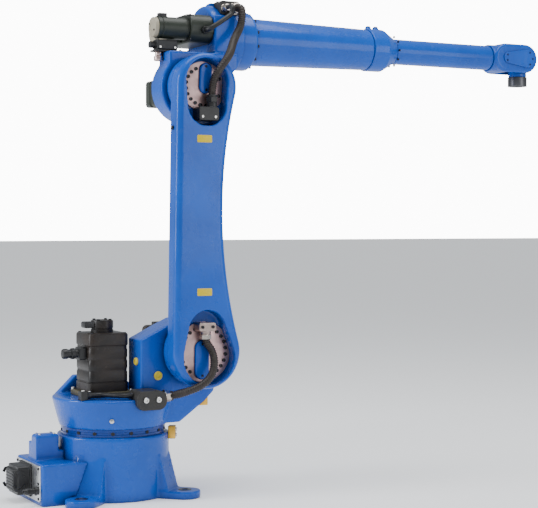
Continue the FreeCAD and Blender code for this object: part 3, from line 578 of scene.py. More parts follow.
trim("power_connector", BASE, 0.0022, black_plastic, "black_plastic")
hood_low, hood_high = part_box("power_connector")
hood_y = (hood_low.y + hood_high.y) / 2
hood_z = (hood_low.z + hood_high.z) / 2
hook_work = bmesh.new()
for side in (-1, 1):
    for up in (-1, 1):
        middle = Vector((hood_low.x + 0.012, hood_y + side * 0.0455, hood_z + up * 0.019))
        hook = [(0.020, -0.004), (0.012, 0.006), (0.000, 0.011), (-0.012, 0.008), (-0.018, -0.003)]
        inner = [(0.016, -0.008), (0.009, 0.000), (0.000, 0.004), (-0.007, 0.002), (-0.012, -0.006)]
        path = hook + inner[::-1]
        near = [hook_work.verts.new(middle + Vector((x, side * -0.002, up * z))) for x, z in path]
        far = [hook_work.verts.new(middle + Vector((x, side * 0.002, up * z))) for x, z in path]
        count = len(path)
        for k in range(len(hook) - 1):
            pair = (k, k + 1, count - 2 - k, count - 1 - k)
            hook_work.faces.new([near[i] for i in pair])
            hook_work.faces.new([far[i] for i in pair])
        for k in range(count):
            after = (k + 1) % count
            hook_work.faces.new([near[k], near[after], far[after], far[k]])
made("connector_latches", hook_work, black_plastic, BASE, "black_plastic", "connector_levers")
rib_work = bmesh.new()
for number in range(7):
    z = hood_z - 0.024 + 0.008 * number
    stack(rib_work, soft_plate(0.030, 0.0016, 0.0014, 0.0, 0.0018, 0.0007),
          Vector((hood_low.x + 0.0002, hood_y, z)), -X, Y, 3)
made("connector_grip_ribs", rib_work, black_plastic, BASE, "black_plastic")

signal_low, signal_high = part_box("signal_connector")
signal_y = (signal_low.y + signal_high.y) / 2
signal_z = (signal_low.z + signal_high.z) / 2
signal_radius = (signal_high.z - signal_low.z) / 2
signal_length = signal_high.x - signal_low.x
barrel = [(0, 0), (signal_radius, 0), (signal_radius, 0.010), (signal_radius - 0.001, 0.012),
          (signal_radius - 0.003, 0.012), (signal_radius - 0.003, 0.015)]
for number in range(6):
    start = 0.015 + number * 0.0035
    barrel += [(signal_radius - 0.0016, start + 0.0006), (signal_radius - 0.0016, start + 0.0026),
               (signal_radius - 0.0026, start + 0.0034)]
barrel += [(signal_radius - 0.003, signal_length - 0.004), (signal_radius - 0.0042, signal_length),
           (signal_radius - 0.0060, signal_length), (signal_radius - 0.0064, signal_length - 0.006),
           (0, signal_length - 0.006)]
turned("signal_connector_turned", barrel, Vector((signal_high.x, signal_y, signal_z)), -X, 40,
       black_plastic, BASE, "black_plastic", "signal_connector")
plug_work = bmesh.new()
for y, z in ((-0.068, 0.088), (-0.068, 0.034), (0.081, 0.084)):
    turn(plug_work,
         [(0, 0), (0.0085, 0), (0.0085, 0.0018), (0.0078, 0.0026), (0.0048, 0.0026),
          (0.0042, 0.0012), (0, 0.0012)],
         Vector((panel_x, y, z)), -X, 32)
made("panel_blanking_plugs", plug_work, dust_plug, BASE, "black_plastic")
hump_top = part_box("connector_box")[1].z
screws("connector_box_screws", BASE,
       [(Vector((x, y, hump_top - 0.0004)), Z) for x in (-0.228, -0.186) for y in (-0.022, 0.005)],
       0.0034, 0.0026, bright_screw)


# ------------------------------------------------------------------ turret
# The turret casting turns on the neck ring. A steel grease nipple stands on the drum's near
# side, and yellow caps close two more greasing points on the upright.

TURRET = "turret"
cast("turret_casting", TURRET)
nipple = math.radians(-113)
nipple_out = Vector((math.cos(nipple), math.sin(nipple), 0))
turned("drum_grease_nipple",
       [(0, -0.004), (0.0062, -0.004), (0.0062, 0.004), (0.0035, 0.005), (0.0030, 0.009),
        (0.0042, 0.011), (0.0040, 0.013), (0.0018, 0.0145), (0, 0.0145)],
       nipple_out * 0.158 + Z * 0.227, nipple_out, 24, bright_screw, TURRET, "bare_metal")

yellow_cap = plastic("yellow_cap", (0.72, 0.56, 0.035), 0.42)
cap_work = bmesh.new()
plug_low, plug_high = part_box("grease_plugs")
near_cap = Vector((plug_high.x - 0.0125, plug_low.y + 0.0015, plug_low.z + 0.0125))
rear_cap = Vector((plug_low.x + 0.006, plug_high.y - 0.011, plug_high.z - 0.011))
for middle, facing, radius, tall in ((near_cap, -Y, 0.0125, 0.0050), (rear_cap, -X, 0.011, 0.0058)):
    turn(cap_work,
         [(0, -0.0005), (radius, -0.0005), (radius, tall * 0.6), (radius * 0.92, tall * 0.86),
          (radius * 0.80, tall), (radius * 0.45, tall), (radius * 0.38, tall * 0.62),
          (0, tall * 0.62)],
         middle, facing, 40)
made("grease_caps", cap_work, yellow_cap, TURRET, "yellow_plug", "grease_plugs")


# ------------------------------------------------------------------ servo motors
# The turning and shoulder motors are square servo motors: a black cast front bell, a stator
# between two seams, a rear bell, and a round brake cover with its sockets. Four screws each.

def motor_coat(name, colour, warm, roughness):
    coat = Finish(name, coat=0.08, coat_roughness=0.2, specular=0.3)
    cloud = coat.ramp(coat.noise(14.0, 4.0, 0.6), 0.36, 0.72)
    tone = coat.mix(cloud * 0.7, colour, warm)
    # Painted shade: an occlusion mask darkens the coat toward a third of its colour in corners and
    # under overhangs.
    corner_shade = coat.ramp(coat.corners(0.02), 0.4, 0.95, 1.0, 0.0)
    tone = coat.mix(corner_shade * 0.6, tone, tuple(part * 0.35 for part in colour))
    dust = coat.ramp(coat.noise(70.0, 5.0, 0.65), 0.58, 0.85)
    tone = coat.mix(dust * 0.18, tone, (0.25, 0.22, 0.18))
    rough = coat.ramp(cloud, 0.0, 1.0, roughness, roughness + 0.12) + dust * 0.1
    sand = coat.noise(520.0, 3.0, 0.6)
    return coat.finish(tone, rough, coat.height(sand, 0.00022))


black_motor = motor_coat("black_motor_paint", (0.012, 0.011, 0.011), (0.040, 0.026, 0.018), 0.34)
plate_coat = motor_coat("olive_base_plate", (0.105, 0.095, 0.055), (0.16, 0.13, 0.07), 0.46)
olive_motor = motor_coat("olive_motor_paint", (0.016, 0.022, 0.016), (0.036, 0.042, 0.030), 0.34)
tan_cap = motor_coat("tan_motor_cap", (0.40, 0.36, 0.27), (0.30, 0.27, 0.20), 0.42)


def servo(name, body, slot, foot, axis, across, half, length, nodes):
    """A square motor on its foot point, with a seam at each bell and a turned cover."""
    coat = black_motor if slot == "black_motor" else olive_motor
    front = min(0.026, length * 0.22)
    rear = length - min(0.034, length * 0.26)
    groove = 0.0022
    levels = [(0, 0), (0, front - 0.0015), (groove, front), (groove, front + 0.002),
              (0.001, front + 0.0035)]
    slats = 3
    step = (rear - front - 0.010) / slats
    for number in range(slats):
        start = front + 0.005 + number * step
        levels += [(0.0010, start + step * 0.10), (0.0010, start + step * 0.72),
                   (groove, start + step * 0.80), (groove, start + step * 0.98)]
    levels += [(groove, rear - 0.002), (0, rear), (0, length - 0.006), (0.0018, length - 0.0018)]
    corner = half * 0.26
    rings = [(half - inset, half - inset, corner, level) for inset, level in levels]
    rings.append((half - 0.006, half - 0.006, corner - 0.004, length))
    work = bmesh.new()
    stack(work, rings, foot, axis, across, 8)
    made(name + "_shell", work, coat, body, slot, *nodes)
    low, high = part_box(nodes[1])
    r = (high.x - low.x) / 2
    h = abs((high - low).dot(axis))
    turned(name + "_cover",
           [(0, 0), (r, 0), (r, h * 0.22), (r - 0.0016, h * 0.25), (r - 0.0016, h * 0.32),
            (r, h * 0.35), (r, h - 0.004), (r - 0.0012, h - 0.0012), (r - 0.004, h), (r * 0.55, h),
            (r * 0.52, h - 0.0012), (0, h - 0.0012)],
           foot + axis * length, axis, 72, coat, body, slot)
    spots = square(foot + axis * (length - 0.0022), axis, across, half - 0.011)
    spots += circle(foot + axis * (length + h - 0.0004), axis, across, r * 0.78, 4, 45)
    screws(name + "_screws", body, spots, 0.0044, 0.0036)


def flanged_servo(name, body, slot, centre, half, depth, corner, coat, inset, head, screw):
    """A servo along Y whose shaft end is a square flange, with a screw at each corner."""
    low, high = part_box(name)
    wide = (high.x - low.x) / 2
    servo(name, body, slot, centre + Y * (low.y + depth), Y, X, half, high.y - low.y - depth,
          (name, name + "_encoder"))
    work = bmesh.new()
    stack(work, soft_plate(wide, wide, corner, 0, depth, 0.0018), centre + Y * low.y, Y, X, 8)
    made(name + "_flange", work, coat, body, slot)
    screws(name.replace("_motor", "_flange_screws"), body,
           square(centre + Y * (low.y + depth - 0.0004), Y, X, wide - inset),
           head, 0.0050, screw)


motor_low, motor_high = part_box("turn_motor")
motor_foot = Vector(((motor_low.x + motor_high.x) / 2, 0, motor_low.z))
servo("turn_motor", TURRET, "black_motor", motor_foot, Z, X, (motor_high.x - motor_low.x) / 2,
      motor_high.z - motor_low.z, ("turn_motor", "turn_motor_encoder"))
trim("turn_motor_plate", TURRET, 0.0015, plate_coat, "black_motor")
plate_low, plate_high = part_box("turn_motor_plate")
screws("turn_plate_screws", TURRET,
       [(Vector((x, y, plate_high.z - 0.0004)), Z)
        for x in (plate_low.x + 0.009, plate_high.x - 0.009)
        for y in (plate_low.y + 0.009, plate_high.y - 0.009)],
       0.0062, 0.0060, bright_screw)
trim("turn_motor_sockets", TURRET, 0.0026, black_plastic, "black_plastic")
socket_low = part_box("turn_motor_sockets")[0]
turned("turn_motor_socket_nut",
       [(0, 0), (0.0150, 0), (0.0158, 0.001), (0.0158, 0.011), (0.0150, 0.012), (0.0125, 0.012),
        (0.0125, 0.022), (0.0145, 0.0225), (0.0145, 0.034), (0.0136, 0.036), (0.0095, 0.036),
        (0.0090, 0.030), (0, 0.030)],
       Vector((socket_low.x + 0.036, -0.015, 0.406)), -X, 12, black_plastic, TURRET,
       "black_plastic")

motor_low, motor_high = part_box("shoulder_motor")
shoulder = Vector(((motor_low.x + motor_high.x) / 2, 0, (motor_low.z + motor_high.z) / 2))
flanged_servo("shoulder_motor", TURRET, "black_motor", shoulder,
              (motor_high.x - motor_low.x) / 2 - 0.006, 0.014, 0.014, black_motor, 0.010, 0.0052,
              bright_screw)
work = bmesh.new()
stack(work, soft_plate(0.015, 0.011, 0.005, 0, 0.062, 0.002),
      Vector((shoulder.x, motor_high.y + 0.017, shoulder.z + 0.004)), Z, X, 5)
turn(work,
     [(0, 0), (0.0125, 0), (0.0132, 0.001), (0.0132, 0.011), (0.0120, 0.013), (0, 0.013)],
     Vector((shoulder.x + 0.014, motor_high.y + 0.017, shoulder.z + 0.052)),
     X, 12)
made("shoulder_motor_socket", work, black_plastic, TURRET, "black_plastic")


# ------------------------------------------------------------------ turret fittings
# A yellow chromated buffer ends the shoulder's swing. A black clamp holds the hose and the
# thin cable that comes from a gland on the drum, with two bright screws on its near face.

trim("shoulder_stop", TURRET, 0.0012, chromate, "brass")
dark_bracket = motor_coat("black_bracket_paint", (0.022, 0.022, 0.023), (0.040, 0.036, 0.032), 0.40)
cast("hose_clamp", TURRET, 0.0013, dark_bracket, "dark_bracket", 4)
clamp_low, clamp_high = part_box("hose_clamp")
hose_y, hose_z = -0.166, 0.290
clamp_z = (clamp_low.z + clamp_high.z) / 2
screws("hose_clamp_screws", TURRET,
       [(Vector((x, clamp_low.y + 0.0004, clamp_z + 0.002)), -Y)
        for x in (clamp_low.x + 0.026, clamp_high.x - 0.026)],
       0.0078, 0.0058, bright_screw, "bare_metal", bore=0.5)
turned("hose_clamp_collar",
       [(0.0185, 0.0), (0.0185, 0.0016), (0.0175, 0.0026), (0.0125, 0.0026), (0.0125, 0.0)],
       Vector((clamp_high.x - 0.001, hose_y, hose_z)),
       X, 40, bright_screw, TURRET, "bare_metal")
trim("cable_gland", TURRET, 0.0012, black_plastic, "black_plastic")
gland_low, gland_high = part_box("cable_gland")
screws("cable_gland_screw", TURRET,
       [(Vector((gland_low.x + 0.011, (gland_low.y + gland_high.y) / 2, gland_high.z - 0.0004)),
         Z)],
       0.0052, 0.0036, bright_screw, "bare_metal")


def rubber(name, colour, roughness):
    skin = Finish(name, specular=0.4)
    worn = skin.ramp(skin.noise(48.0, 4.0, 0.6), 0.42, 0.76)
    tone = skin.mix(worn * 0.6, colour, tuple(part * 2.0 + 0.006 for part in colour))
    grain = skin.noise(800.0, 2.0)
    return skin.finish(tone, skin.ramp(worn, 0, 1, roughness, roughness + 0.15),
                       skin.height(grain, 0.00006))


conduit_brown = rubber("brown_black_conduit", (0.022, 0.016, 0.013), 0.40)
cable_black = rubber("black_cable_sheath", (0.011, 0.011, 0.012), 0.38)

def coat_node(node, material):
    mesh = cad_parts[node].data
    for number in range(len(mesh.materials)):
        mesh.materials[number] = material


coat_node("turret_cable", cable_black)


# ------------------------------------------------------------------ upper arm
# The upper arm is one iron casting with an open recess at each hub. On each recess floor lies
# the bare face of a gear reducer, ringed with dark screws, and a painted cover over its middle.

UPPER_ARM = "upper_arm"
cast("upper_arm_casting", UPPER_ARM)


def reducer_metal(name, centre):
    """Bare steel with fine turning marks round the middle of the reducer."""
    metal = Finish(name, metallic=0.85)
    there = metal.add("ShaderNodeMapping", {}, {"Vector": metal.place, "Location": tuple(-centre)})
    rings = metal.add("ShaderNodeTexWave",
                      {"wave_type": "RINGS", "rings_direction": "Y", "wave_profile": "SIN"},
                      {"Vector": there, "Scale": 210.0, "Distortion": 0.6, "Detail": 2.0}, 1)
    oil = metal.ramp(metal.noise(26.0, 4.0, 0.6), 0.40, 0.74)
    tone = metal.mix(oil * 0.8, (0.56, 0.38, 0.37), (0.24, 0.16, 0.15))
    rough = metal.ramp(oil, 0, 1, 0.30, 0.46)
    return metal.finish(tone, rough, metal.height(rings, 0.00004))


arm_x = shoulder.x
hubs = (("lower", 0.079, 0.410, 24), ("upper", 0.064, 1.160, 20))
for side_name, recess, hub_z, ring_count in hubs:
    flange_node = side_name + "_reducer_flange"
    cover_node = side_name + "_hub_cover"
    low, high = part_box(flange_node)
    centre = Vector((arm_x, low.y, hub_z))
    metal = reducer_metal(side_name + "_reducer_steel", centre)
    trim(flange_node, UPPER_ARM, 0.0006, metal, "bare_metal")
    cover_low, cover_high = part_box(cover_node)
    cast(cover_node, UPPER_ARM, 0.0010, passes=3)
    cover_x = (cover_low.x + cover_high.x) / 2
    screws(side_name + "_cover_screws", UPPER_ARM,
           [(Vector((cover_x, cover_low.y + 0.0003, z)), -Y)
            for z in (cover_low.z + 0.011, cover_high.z - 0.011)],
           0.0034, 0.0024)
    ring_radius = recess - 0.010
    spots = []
    for number in range(ring_count):
        angle = 2 * math.pi * number / ring_count + 0.13
        spot = centre + X * ring_radius * math.cos(angle) + Z * ring_radius * math.sin(angle)
        inside = (low.x + 0.008 < spot.x < high.x - 0.008
                  and low.z + 0.008 < spot.z < high.z - 0.008)
        over_cover = (cover_low.x - 0.007 < spot.x < cover_high.x + 0.007
                      and cover_low.z - 0.007 < spot.z < cover_high.z + 0.007)
        if inside and not over_cover:
            spots.append((spot + Y * 0.0006, -Y))
    screws(side_name + "_reducer_screws", UPPER_ARM, spots, 0.0052, 0.0042, bore=0.56)

cast("lower_hose_bracket", UPPER_ARM, 0.0011, steel("cast_bracket_steel", (0.42, 0.33, 0.30), 0.36),
     "bare_metal", 3)
bracket_low, bracket_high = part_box("lower_hose_bracket")
screws("lower_bracket_screws", UPPER_ARM,
       [(Vector((x, bracket_low.y + 0.0004, bracket_high.z - 0.012)), -Y)
        for x in (bracket_low.x + 0.010, bracket_high.x - 0.010)],
       0.0046, 0.0038)
cast("upper_cable_gland", UPPER_ARM, 0.0011, black_plastic, "black_plastic", 3)
block_low, block_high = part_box("upper_cable_gland")
screws("upper_gland_screws", UPPER_ARM,
       [(Vector((x, block_low.y + 0.0004, block_low.z + 0.010)), -Y)
        for x in (block_low.x + 0.010, block_high.x - 0.012)],
       0.0036, 0.0028, bright_screw)

label_yellow = Finish("yellow_label_film", specular=0.4)
faded = label_yellow.ramp(label_yellow.noise(120.0, 4.0, 0.6), 0.45, 0.8)
label_tone = label_yellow.mix(faded * 0.5, (0.70, 0.50, 0.0), (0.40, 0.42, 0.01))
label_film = label_yellow.finish(label_tone, label_yellow.ramp(faded, 0, 1, 0.35, 0.5))
arm_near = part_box("upper_arm_casting")[0].y
work = bmesh.new()
for label_z in (0.580, 1.010):
    stack(work, soft_plate(0.023, 0.0105, 0.003, 0.0, 0.0005, 0.0002),
          Vector((arm_x - 0.012, arm_near + 0.0001, label_z)), -Y, X, 4)
made("plain_yellow_labels", work, label_film, UPPER_ARM, "yellow_plug")
rear_x = arm_x - 0.0985
work = bmesh.new()
for plug_z in (0.560, 1.040):
    turn(work,
         [(0, -0.003), (0.0058, -0.003), (0.0058, 0.0008), (0.0050, 0.0014), (0.0024, 0.0014),
          (0.0022, 0.0002), (0, 0.0002)],
         Vector((rear_x + 0.0008, arm_near + 0.031, plug_z)),
         -X, 28)
made("arm_rear_plugs", work, black_screw, UPPER_ARM, "dark_steel")


# ------------------------------------------------------------------ hoses over the joints
# The cables run in brown-black corrugated conduit. One length bends round the shoulder and one
# round the elbow, each held by a union at both ends. The route's points are the middle line.

def conduit_tree():
    tree, add, join, given = start_group("corrugated_conduit", ("Radius", "Rib Depth"), "Rings")
    path = add("GeometryNodeMeshToCurve")
    join(given.outputs["Geometry"], path.inputs["Mesh"])
    even = add("GeometryNodeResampleCurve")
    join(path.outputs[0], even.inputs["Curve"])
    join(given.outputs["Rings"], even.inputs["Count"])
    index = add("GeometryNodeInputIndex")

    def maths(operation, first, second):
        node = add("ShaderNodeMath")
        node.operation = operation
        for socket, value in zip(node.inputs, (first, second)):
            if isinstance(value, float):
                socket.default_value = value
            elif value is not None:
                join(value, socket)
        return node.outputs[0]

    phase = maths("MULTIPLY", index.outputs[0], math.pi / 2)
    wave = maths("MULTIPLY", maths("SINE", phase, None), 0.5)
    dip = maths("MULTIPLY", maths("ADD", wave, -0.5), given.outputs["Rib Depth"])
    width = maths("ADD", dip, given.outputs["Radius"])
    profile = add("GeometryNodeCurvePrimitiveCircle")
    profile.inputs["Resolution"].default_value = 22
    profile.inputs["Radius"].default_value = 1.0
    tube = add("GeometryNodeCurveToMesh")
    join(even.outputs[0], tube.inputs["Curve"])
    join(profile.outputs[0], tube.inputs["Profile Curve"])
    tube.inputs["Fill Caps"].default_value = True
    join(width, tube.inputs["Scale"])
    end_group(add, join, given, tube.outputs[0])
    return tree


CONDUIT = conduit_tree()
MM = 0.001


def middle_line(name, points):
    """The smooth line through the route, as points a few millimetres apart."""
    data = bpy.data.curves.new(name, "CURVE")
    data.dimensions = "3D"
    line = data.splines.new("NURBS")
    line.points.add(len(points) - 1)
    for spot, point in zip(line.points, points):
        spot.co = (*[part * MM for part in point], 1)
    line.order_u = 3
    line.use_endpoint_u = True
    line.resolution_u = 16
    thing = linked(name, data)
    bpy.context.view_layer.update()
    mesh = bpy.data.meshes.new_from_object(thing)
    bpy.data.objects.remove(thing)
    return mesh


def conduit(name, points, radius, rib, pitch, material):
    """A corrugated hose along the route, with four rings of points to a rib."""
    mesh = middle_line(name, points)
    length = sum((mesh.vertices[a].co - mesh.vertices[b].co).length for a, b in
                 [edge.vertices for edge in mesh.edges])
    thing = linked("line_" + name, mesh)
    apply_group(thing, CONDUIT, {"Radius": radius, "Rib Depth": rib, "Finish": material,
                                 "Rings": 4 * round(length / pitch) + 1})
    piece = baked(thing, name, material)
    tube = piece.data
    work = bmesh.new()
    work.from_mesh(tube)
    bmesh.ops.remove_doubles(work, verts=work.verts, dist=0.000002)
    bmesh.ops.recalc_face_normals(work, faces=work.faces)
    work.to_mesh(tube)
    work.free()
    for face in tube.polygons:
        face.use_smooth = len(face.vertices) < 6
    return piece


ELBOW = "elbow"
lower_route = [(86, -166, 290), (110, -166, 290), (136, -210, 304), (172, -224, 318),
               (206, -224, 344), (222, -212, 382), (218, -199, 418), (200, -195, 440),
               (200, -195, 460)]
upper_route = [(220, -195, 1114), (220, -195, 1148), (224, -203, 1186), (242, -224, 1220),
               (270, -210, 1252), (296, -172, 1282), (322, -140, 1312), (348, -126, 1346),
               (352, -126, 1393), (352, -104, 1403), (352, -84, 1403)]
hoses = ((TURRET, "lower", lower_route, UPPER_ARM, (0.095, hose_y, hose_z), (0.200, -0.195, 0.450)),
         (UPPER_ARM, "upper", upper_route, ELBOW, (0.220, -0.195, 1.130), (0.345, -0.100, 1.390)))
for first, side_name, route, second, leaves, arrives in hoses:
    hose = conduit(side_name + "_conduit", route, 0.0120, 0.0026, 0.0062, conduit_brown)
    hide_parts(side_name + "_harness")
    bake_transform(hose)


def sleeve(name, body, point, axis, start, length, radius, material, slot, sides=40):
    """A union's nut or ferrule slipped over a hose end."""
    rim = 0.0010
    turned(name,
           [(radius * 0.80, 0), (radius - rim, 0), (radius, rim), (radius, length - rim),
            (radius - rim, length), (radius * 0.80, length)],
           Vector(point) * MM + axis * start, axis, sides, material, body, slot)


union_steel = steel("nickel_union", (0.62, 0.56, 0.50), 0.26)
sleeve("lower_hose_ferrule", TURRET, lower_route[0], X, 0.003, 0.016, 0.0155, union_steel,
       "bare_metal", 6)
sleeve("lower_hose_sleeve", TURRET, lower_route[0], X, 0.019, 0.006, 0.0138, black_plastic,
       "black_plastic")
sleeve("lower_hose_union", UPPER_ARM, lower_route[-1], -Z, 0.000, 0.013, 0.0165, union_steel,
       "bare_metal", 6)
sleeve("upper_hose_gland_nut", UPPER_ARM, upper_route[0], Z, 0.000, 0.014, 0.0172, black_plastic,
       "black_plastic", 6)
sleeve("upper_hose_gland_ring", UPPER_ARM, upper_route[0], Z, 0.014, 0.007, 0.0148, black_plastic,
       "black_plastic")


# ------------------------------------------------------------------ elbow and its motor
# The elbow casting carries the forearm and all four upper motors. Its own motor bolts to the
# far side through a round seat, and shows its square flange behind the upper hub.

cast("elbow_casting", ELBOW)
cap_low, cap_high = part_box("elbow_motor_encoder")
elbow_centre = Vector(((cap_low.x + cap_high.x) / 2, 0, (cap_low.z + cap_high.z) / 2))
slate_motor = motor_coat("slate_motor_paint", (0.13, 0.135, 0.165), (0.075, 0.078, 0.085), 0.42)
body_half = 0.040
flanged_servo("elbow_motor", ELBOW, "olive_motor", elbow_centre, body_half, 0.018, 0.012,
              slate_motor, 0.009, 0.0055, black_screw)
turned("elbow_motor_socket",
       [(0, 0), (0.0105, 0), (0.0112, 0.001), (0.0112, 0.016), (0.0100, 0.018), (0.0100, 0.030),
        (0.0090, 0.032), (0, 0.032)],
       Vector((elbow_centre.x, cap_low.y - 0.012, elbow_centre.z + body_half - 0.002)),
       Z, 24, black_plastic, ELBOW, "black_plastic")


# ------------------------------------------------------------------ wrist motors
# Three small round servos sit side by side in one cast block behind the housing. Each ends in
# a pale tan cap with two screws and a short socket, and the block is held by socket screws.

cast("wrist_motor_block", ELBOW, 0.0016, olive_motor, "olive_motor", 4)
block_low, block_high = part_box("wrist_motor_block")
near_low, near_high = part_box("wrist_motor_near")
short_low, short_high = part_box("wrist_motors_short")
caps_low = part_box("wrist_motor_caps")[0]
motor_radius = 0.032
motor_z = (near_low.z + near_high.z) / 2
near_y = (near_low.y + near_high.y) / 2
motor_lines = [(near_y, near_low.x), (short_low.y + motor_radius, short_low.x),
               (short_high.y - motor_radius, short_low.x)]
cap_depth = near_low.x - caps_low.x
barrels = bmesh.new()
ends = bmesh.new()
cap_spots = []
for line_y, rear_x in motor_lines:
    r = motor_radius
    run = block_low.x + 0.004 - rear_x
    turn(barrels,
         [(0, 0), (r - 0.0012, 0), (r, 0.0012), (r, 0.010), (r - 0.0014, 0.0112),
          (r - 0.0014, 0.0128), (r, 0.014), (r, run - 0.012), (r - 0.0014, run - 0.0108),
          (r - 0.0014, run - 0.0095), (r, run - 0.008), (r, run), (0, run)],
         Vector((rear_x, line_y, motor_z)), X, 72)
    c = 0.029
    turn(ends,
         [(0, 0), (c, 0), (c, cap_depth - 0.0036), (c - 0.0011, cap_depth - 0.0011),
          (c - 0.0036, cap_depth), (0.0125, cap_depth), (0.0120, cap_depth - 0.0010),
          (0, cap_depth - 0.0010)],
         Vector((rear_x, line_y, motor_z)), -X, 72)
    cap_spots += circle(Vector((rear_x - cap_depth + 0.0003, line_y, motor_z)), -X, Z, 0.0205, 2,
                        60)
made("wrist_motor_barrels", barrels, olive_motor, ELBOW, "olive_motor", "wrist_motor_near",
     "wrist_motors_short")
made("wrist_motor_end_caps", ends, tan_cap, ELBOW, "motor_cap", "wrist_motor_caps")
screws("wrist_cap_screws", ELBOW, cap_spots, 0.0028, 0.0022)
face_x = block_low.x
between_motors = (near_y + short_low.y + motor_radius) / 2
screws("wrist_block_screws", ELBOW,
       [(Vector((face_x + 0.0004, y, z)), -X)
        for y in (block_low.y + 0.007, between_motors, block_high.y - 0.007)
        for z in (block_low.z + 0.007, block_high.z - 0.007)],
       0.0040, 0.0040)
sockets = bmesh.new()
for line_y, rear_x in motor_lines:
    stack(sockets, soft_plate(0.0130, 0.0095, 0.0035, 0.0, 0.0125, 0.0016),
          Vector((rear_x + 0.020, line_y, motor_z + motor_radius - 0.003)), Z, X, 4)
made("wrist_motor_sockets", sockets, black_plastic, ELBOW, "black_plastic")


# ------------------------------------------------------------------ connector tray and top bracket
# A bent black sheet holds the arm's connector beside the motors, with a bare fitting below it.
# A black bracket on the housing ends the hose and the motor cable in two bright unions.

trim("connector_tray", ELBOW, 0.0009, dark_bracket, "dark_bracket")
tray_low, tray_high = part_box("connector_tray")
cast("tray_connector", ELBOW, 0.0011, black_plastic, "black_plastic", 3)
plug_low, plug_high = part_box("tray_connector")
screws("tray_screws", ELBOW,
       [(Vector((x, tray_low.y + 0.008, tray_high.z - 0.0004)), Z)
        for x in (plug_high.x + 0.010, tray_high.x - 0.010)],
       0.0040, 0.0034)
screws("tray_connector_screws", ELBOW,
       [(Vector((x, plug_low.y + 0.0004, plug_low.z + 0.008)), -Y)
        for x in (plug_high.x - 0.054, plug_high.x - 0.008)],
       0.0032, 0.0024, bright_screw, "bare_metal")
work = bmesh.new()
fit = Vector(((tray_low.x + 0.020), (tray_low.y + tray_high.y) / 2, tray_low.z + 0.0005))
turn(work,
     [(0, -0.001), (0.0105, -0.001), (0.0112, 0.0), (0.0112, 0.010), (0.0100, 0.012),
      (0.0135, 0.013), (0.0142, 0.014), (0.0142, 0.025), (0.0132, 0.0265), (0, 0.0265)],
     fit, -Z, 36)
made("tray_bare_fitting", work, steel("bare_fitting_metal", (0.66, 0.50, 0.46), 0.30), ELBOW,
     "bare_metal")

cast("top_hose_bracket", ELBOW, 0.0013, dark_bracket, "dark_bracket", 4)
top_low, top_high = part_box("top_hose_bracket")
screws("top_bracket_screws", ELBOW,
       [(Vector(((top_low.x + top_high.x) / 2, top_low.y + 0.0004, top_low.z + 0.007)),
         -Y)] + [(Vector((x, top_high.y - 0.012, top_high.z - 0.0004)), Z)
                 for x in (top_low.x + 0.012, top_high.x - 0.012)],
       0.0044, 0.0038, bright_screw, "bare_metal")
cable_end = (321, -84, 1403)
union_work = bmesh.new()
for place, size in ((upper_route[-1], 0.0172), (cable_end, 0.0118)):
    foot = Vector(place) * MM + Y * 0.0125
    turn(union_work,
         [(size * 0.82, 0), (size, 0), (size, 0.0012), (size * 0.90, 0.0022),
          (size * 0.90, 0.0075), (size * 0.55, 0.0075), (size * 0.55, 0.0)],
         foot, -Y, 44)
    turn(union_work,
         [(size * 0.60, 0.0072), (size * 0.93, 0.0072), (size, 0.0084), (size, 0.0160),
          (size * 0.93, 0.0175), (size * 0.60, 0.0175)],
         foot, -Y, 6)
    turn(union_work,
         [(size * 0.60, 0.0172), (size * 0.86, 0.0172), (size * 0.86, 0.0225),
          (size * 0.76, 0.0240), (size * 0.60, 0.0240)],
         foot, -Y, 44)
made("bright_unions", union_work, union_steel, ELBOW, "bare_metal", "top_unions")

coat_node("motor_cable", cable_black)
sleeve("motor_cable_nut", ELBOW, (247, -92, 1331), -Y, 0.0, 0.012, 0.0115, black_plastic,
       "black_plastic", 6)


# ------------------------------------------------------------------ forearm
# The forearm is a round blue casting that narrows to a two-bossed end. A ring of screws joins
# it to the housing's turning collar, and small plugs close the bosses.

FOREARM = "forearm"
cast("forearm_collar", FOREARM, 0.0020)
collar_low, collar_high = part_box("forearm_collar")
cast("forearm_tube", FOREARM, 0.0022)
cast("forearm_end", FOREARM, 0.0018)
end_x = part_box("forearm_end")[1].x
arm_line = Vector((0, 0, (collar_low.z + collar_high.z) / 2))
collar_radius = (collar_high.y - collar_low.y) / 2
screws("forearm_collar_screws", FOREARM,
       circle(Vector((collar_high.x - 0.0006, 0, arm_line.z)), X, Z, collar_radius - 0.0075, 12,
              15),
       0.0048, 0.0044)
seam = steel("dark_seal_ring", (0.05, 0.05, 0.055), 0.45)
work = bmesh.new()
r = collar_radius - 0.004
turn(work,
     [(r, 0), (r, 0.0026), (r - 0.010, 0.0026), (r - 0.010, 0)],
     Vector((collar_low.x - 0.0013, 0, arm_line.z)),
     X, 96)
made("forearm_seal_ring", work, seam, FOREARM, "dark_steel")
work = bmesh.new()
for boss_x in (0.8583, 0.8853):
    turn(work,
         [(0, -0.002), (0.0062, -0.002), (0.0062, 0.0012), (0.0054, 0.0020), (0.0028, 0.0020),
          (0.0026, 0.0004), (0, 0.0004)],
         Vector((boss_x, 0, 1.3905)), Z, 32)
made("forearm_boss_plugs", work, black_screw, FOREARM, "dark_steel")
screws("forearm_end_screws", FOREARM,
       circle(Vector((end_x - 0.0006, 0, arm_line.z)), X, Z, 0.0472, 10, 18),
       0.0038, 0.0036)


# ------------------------------------------------------------------ wrist
# A slim blue tube ends in a fork, whose bearings are closed by screwed covers. The wrist body
# swings between them and carries the round blackened flange that the tool bolts to.

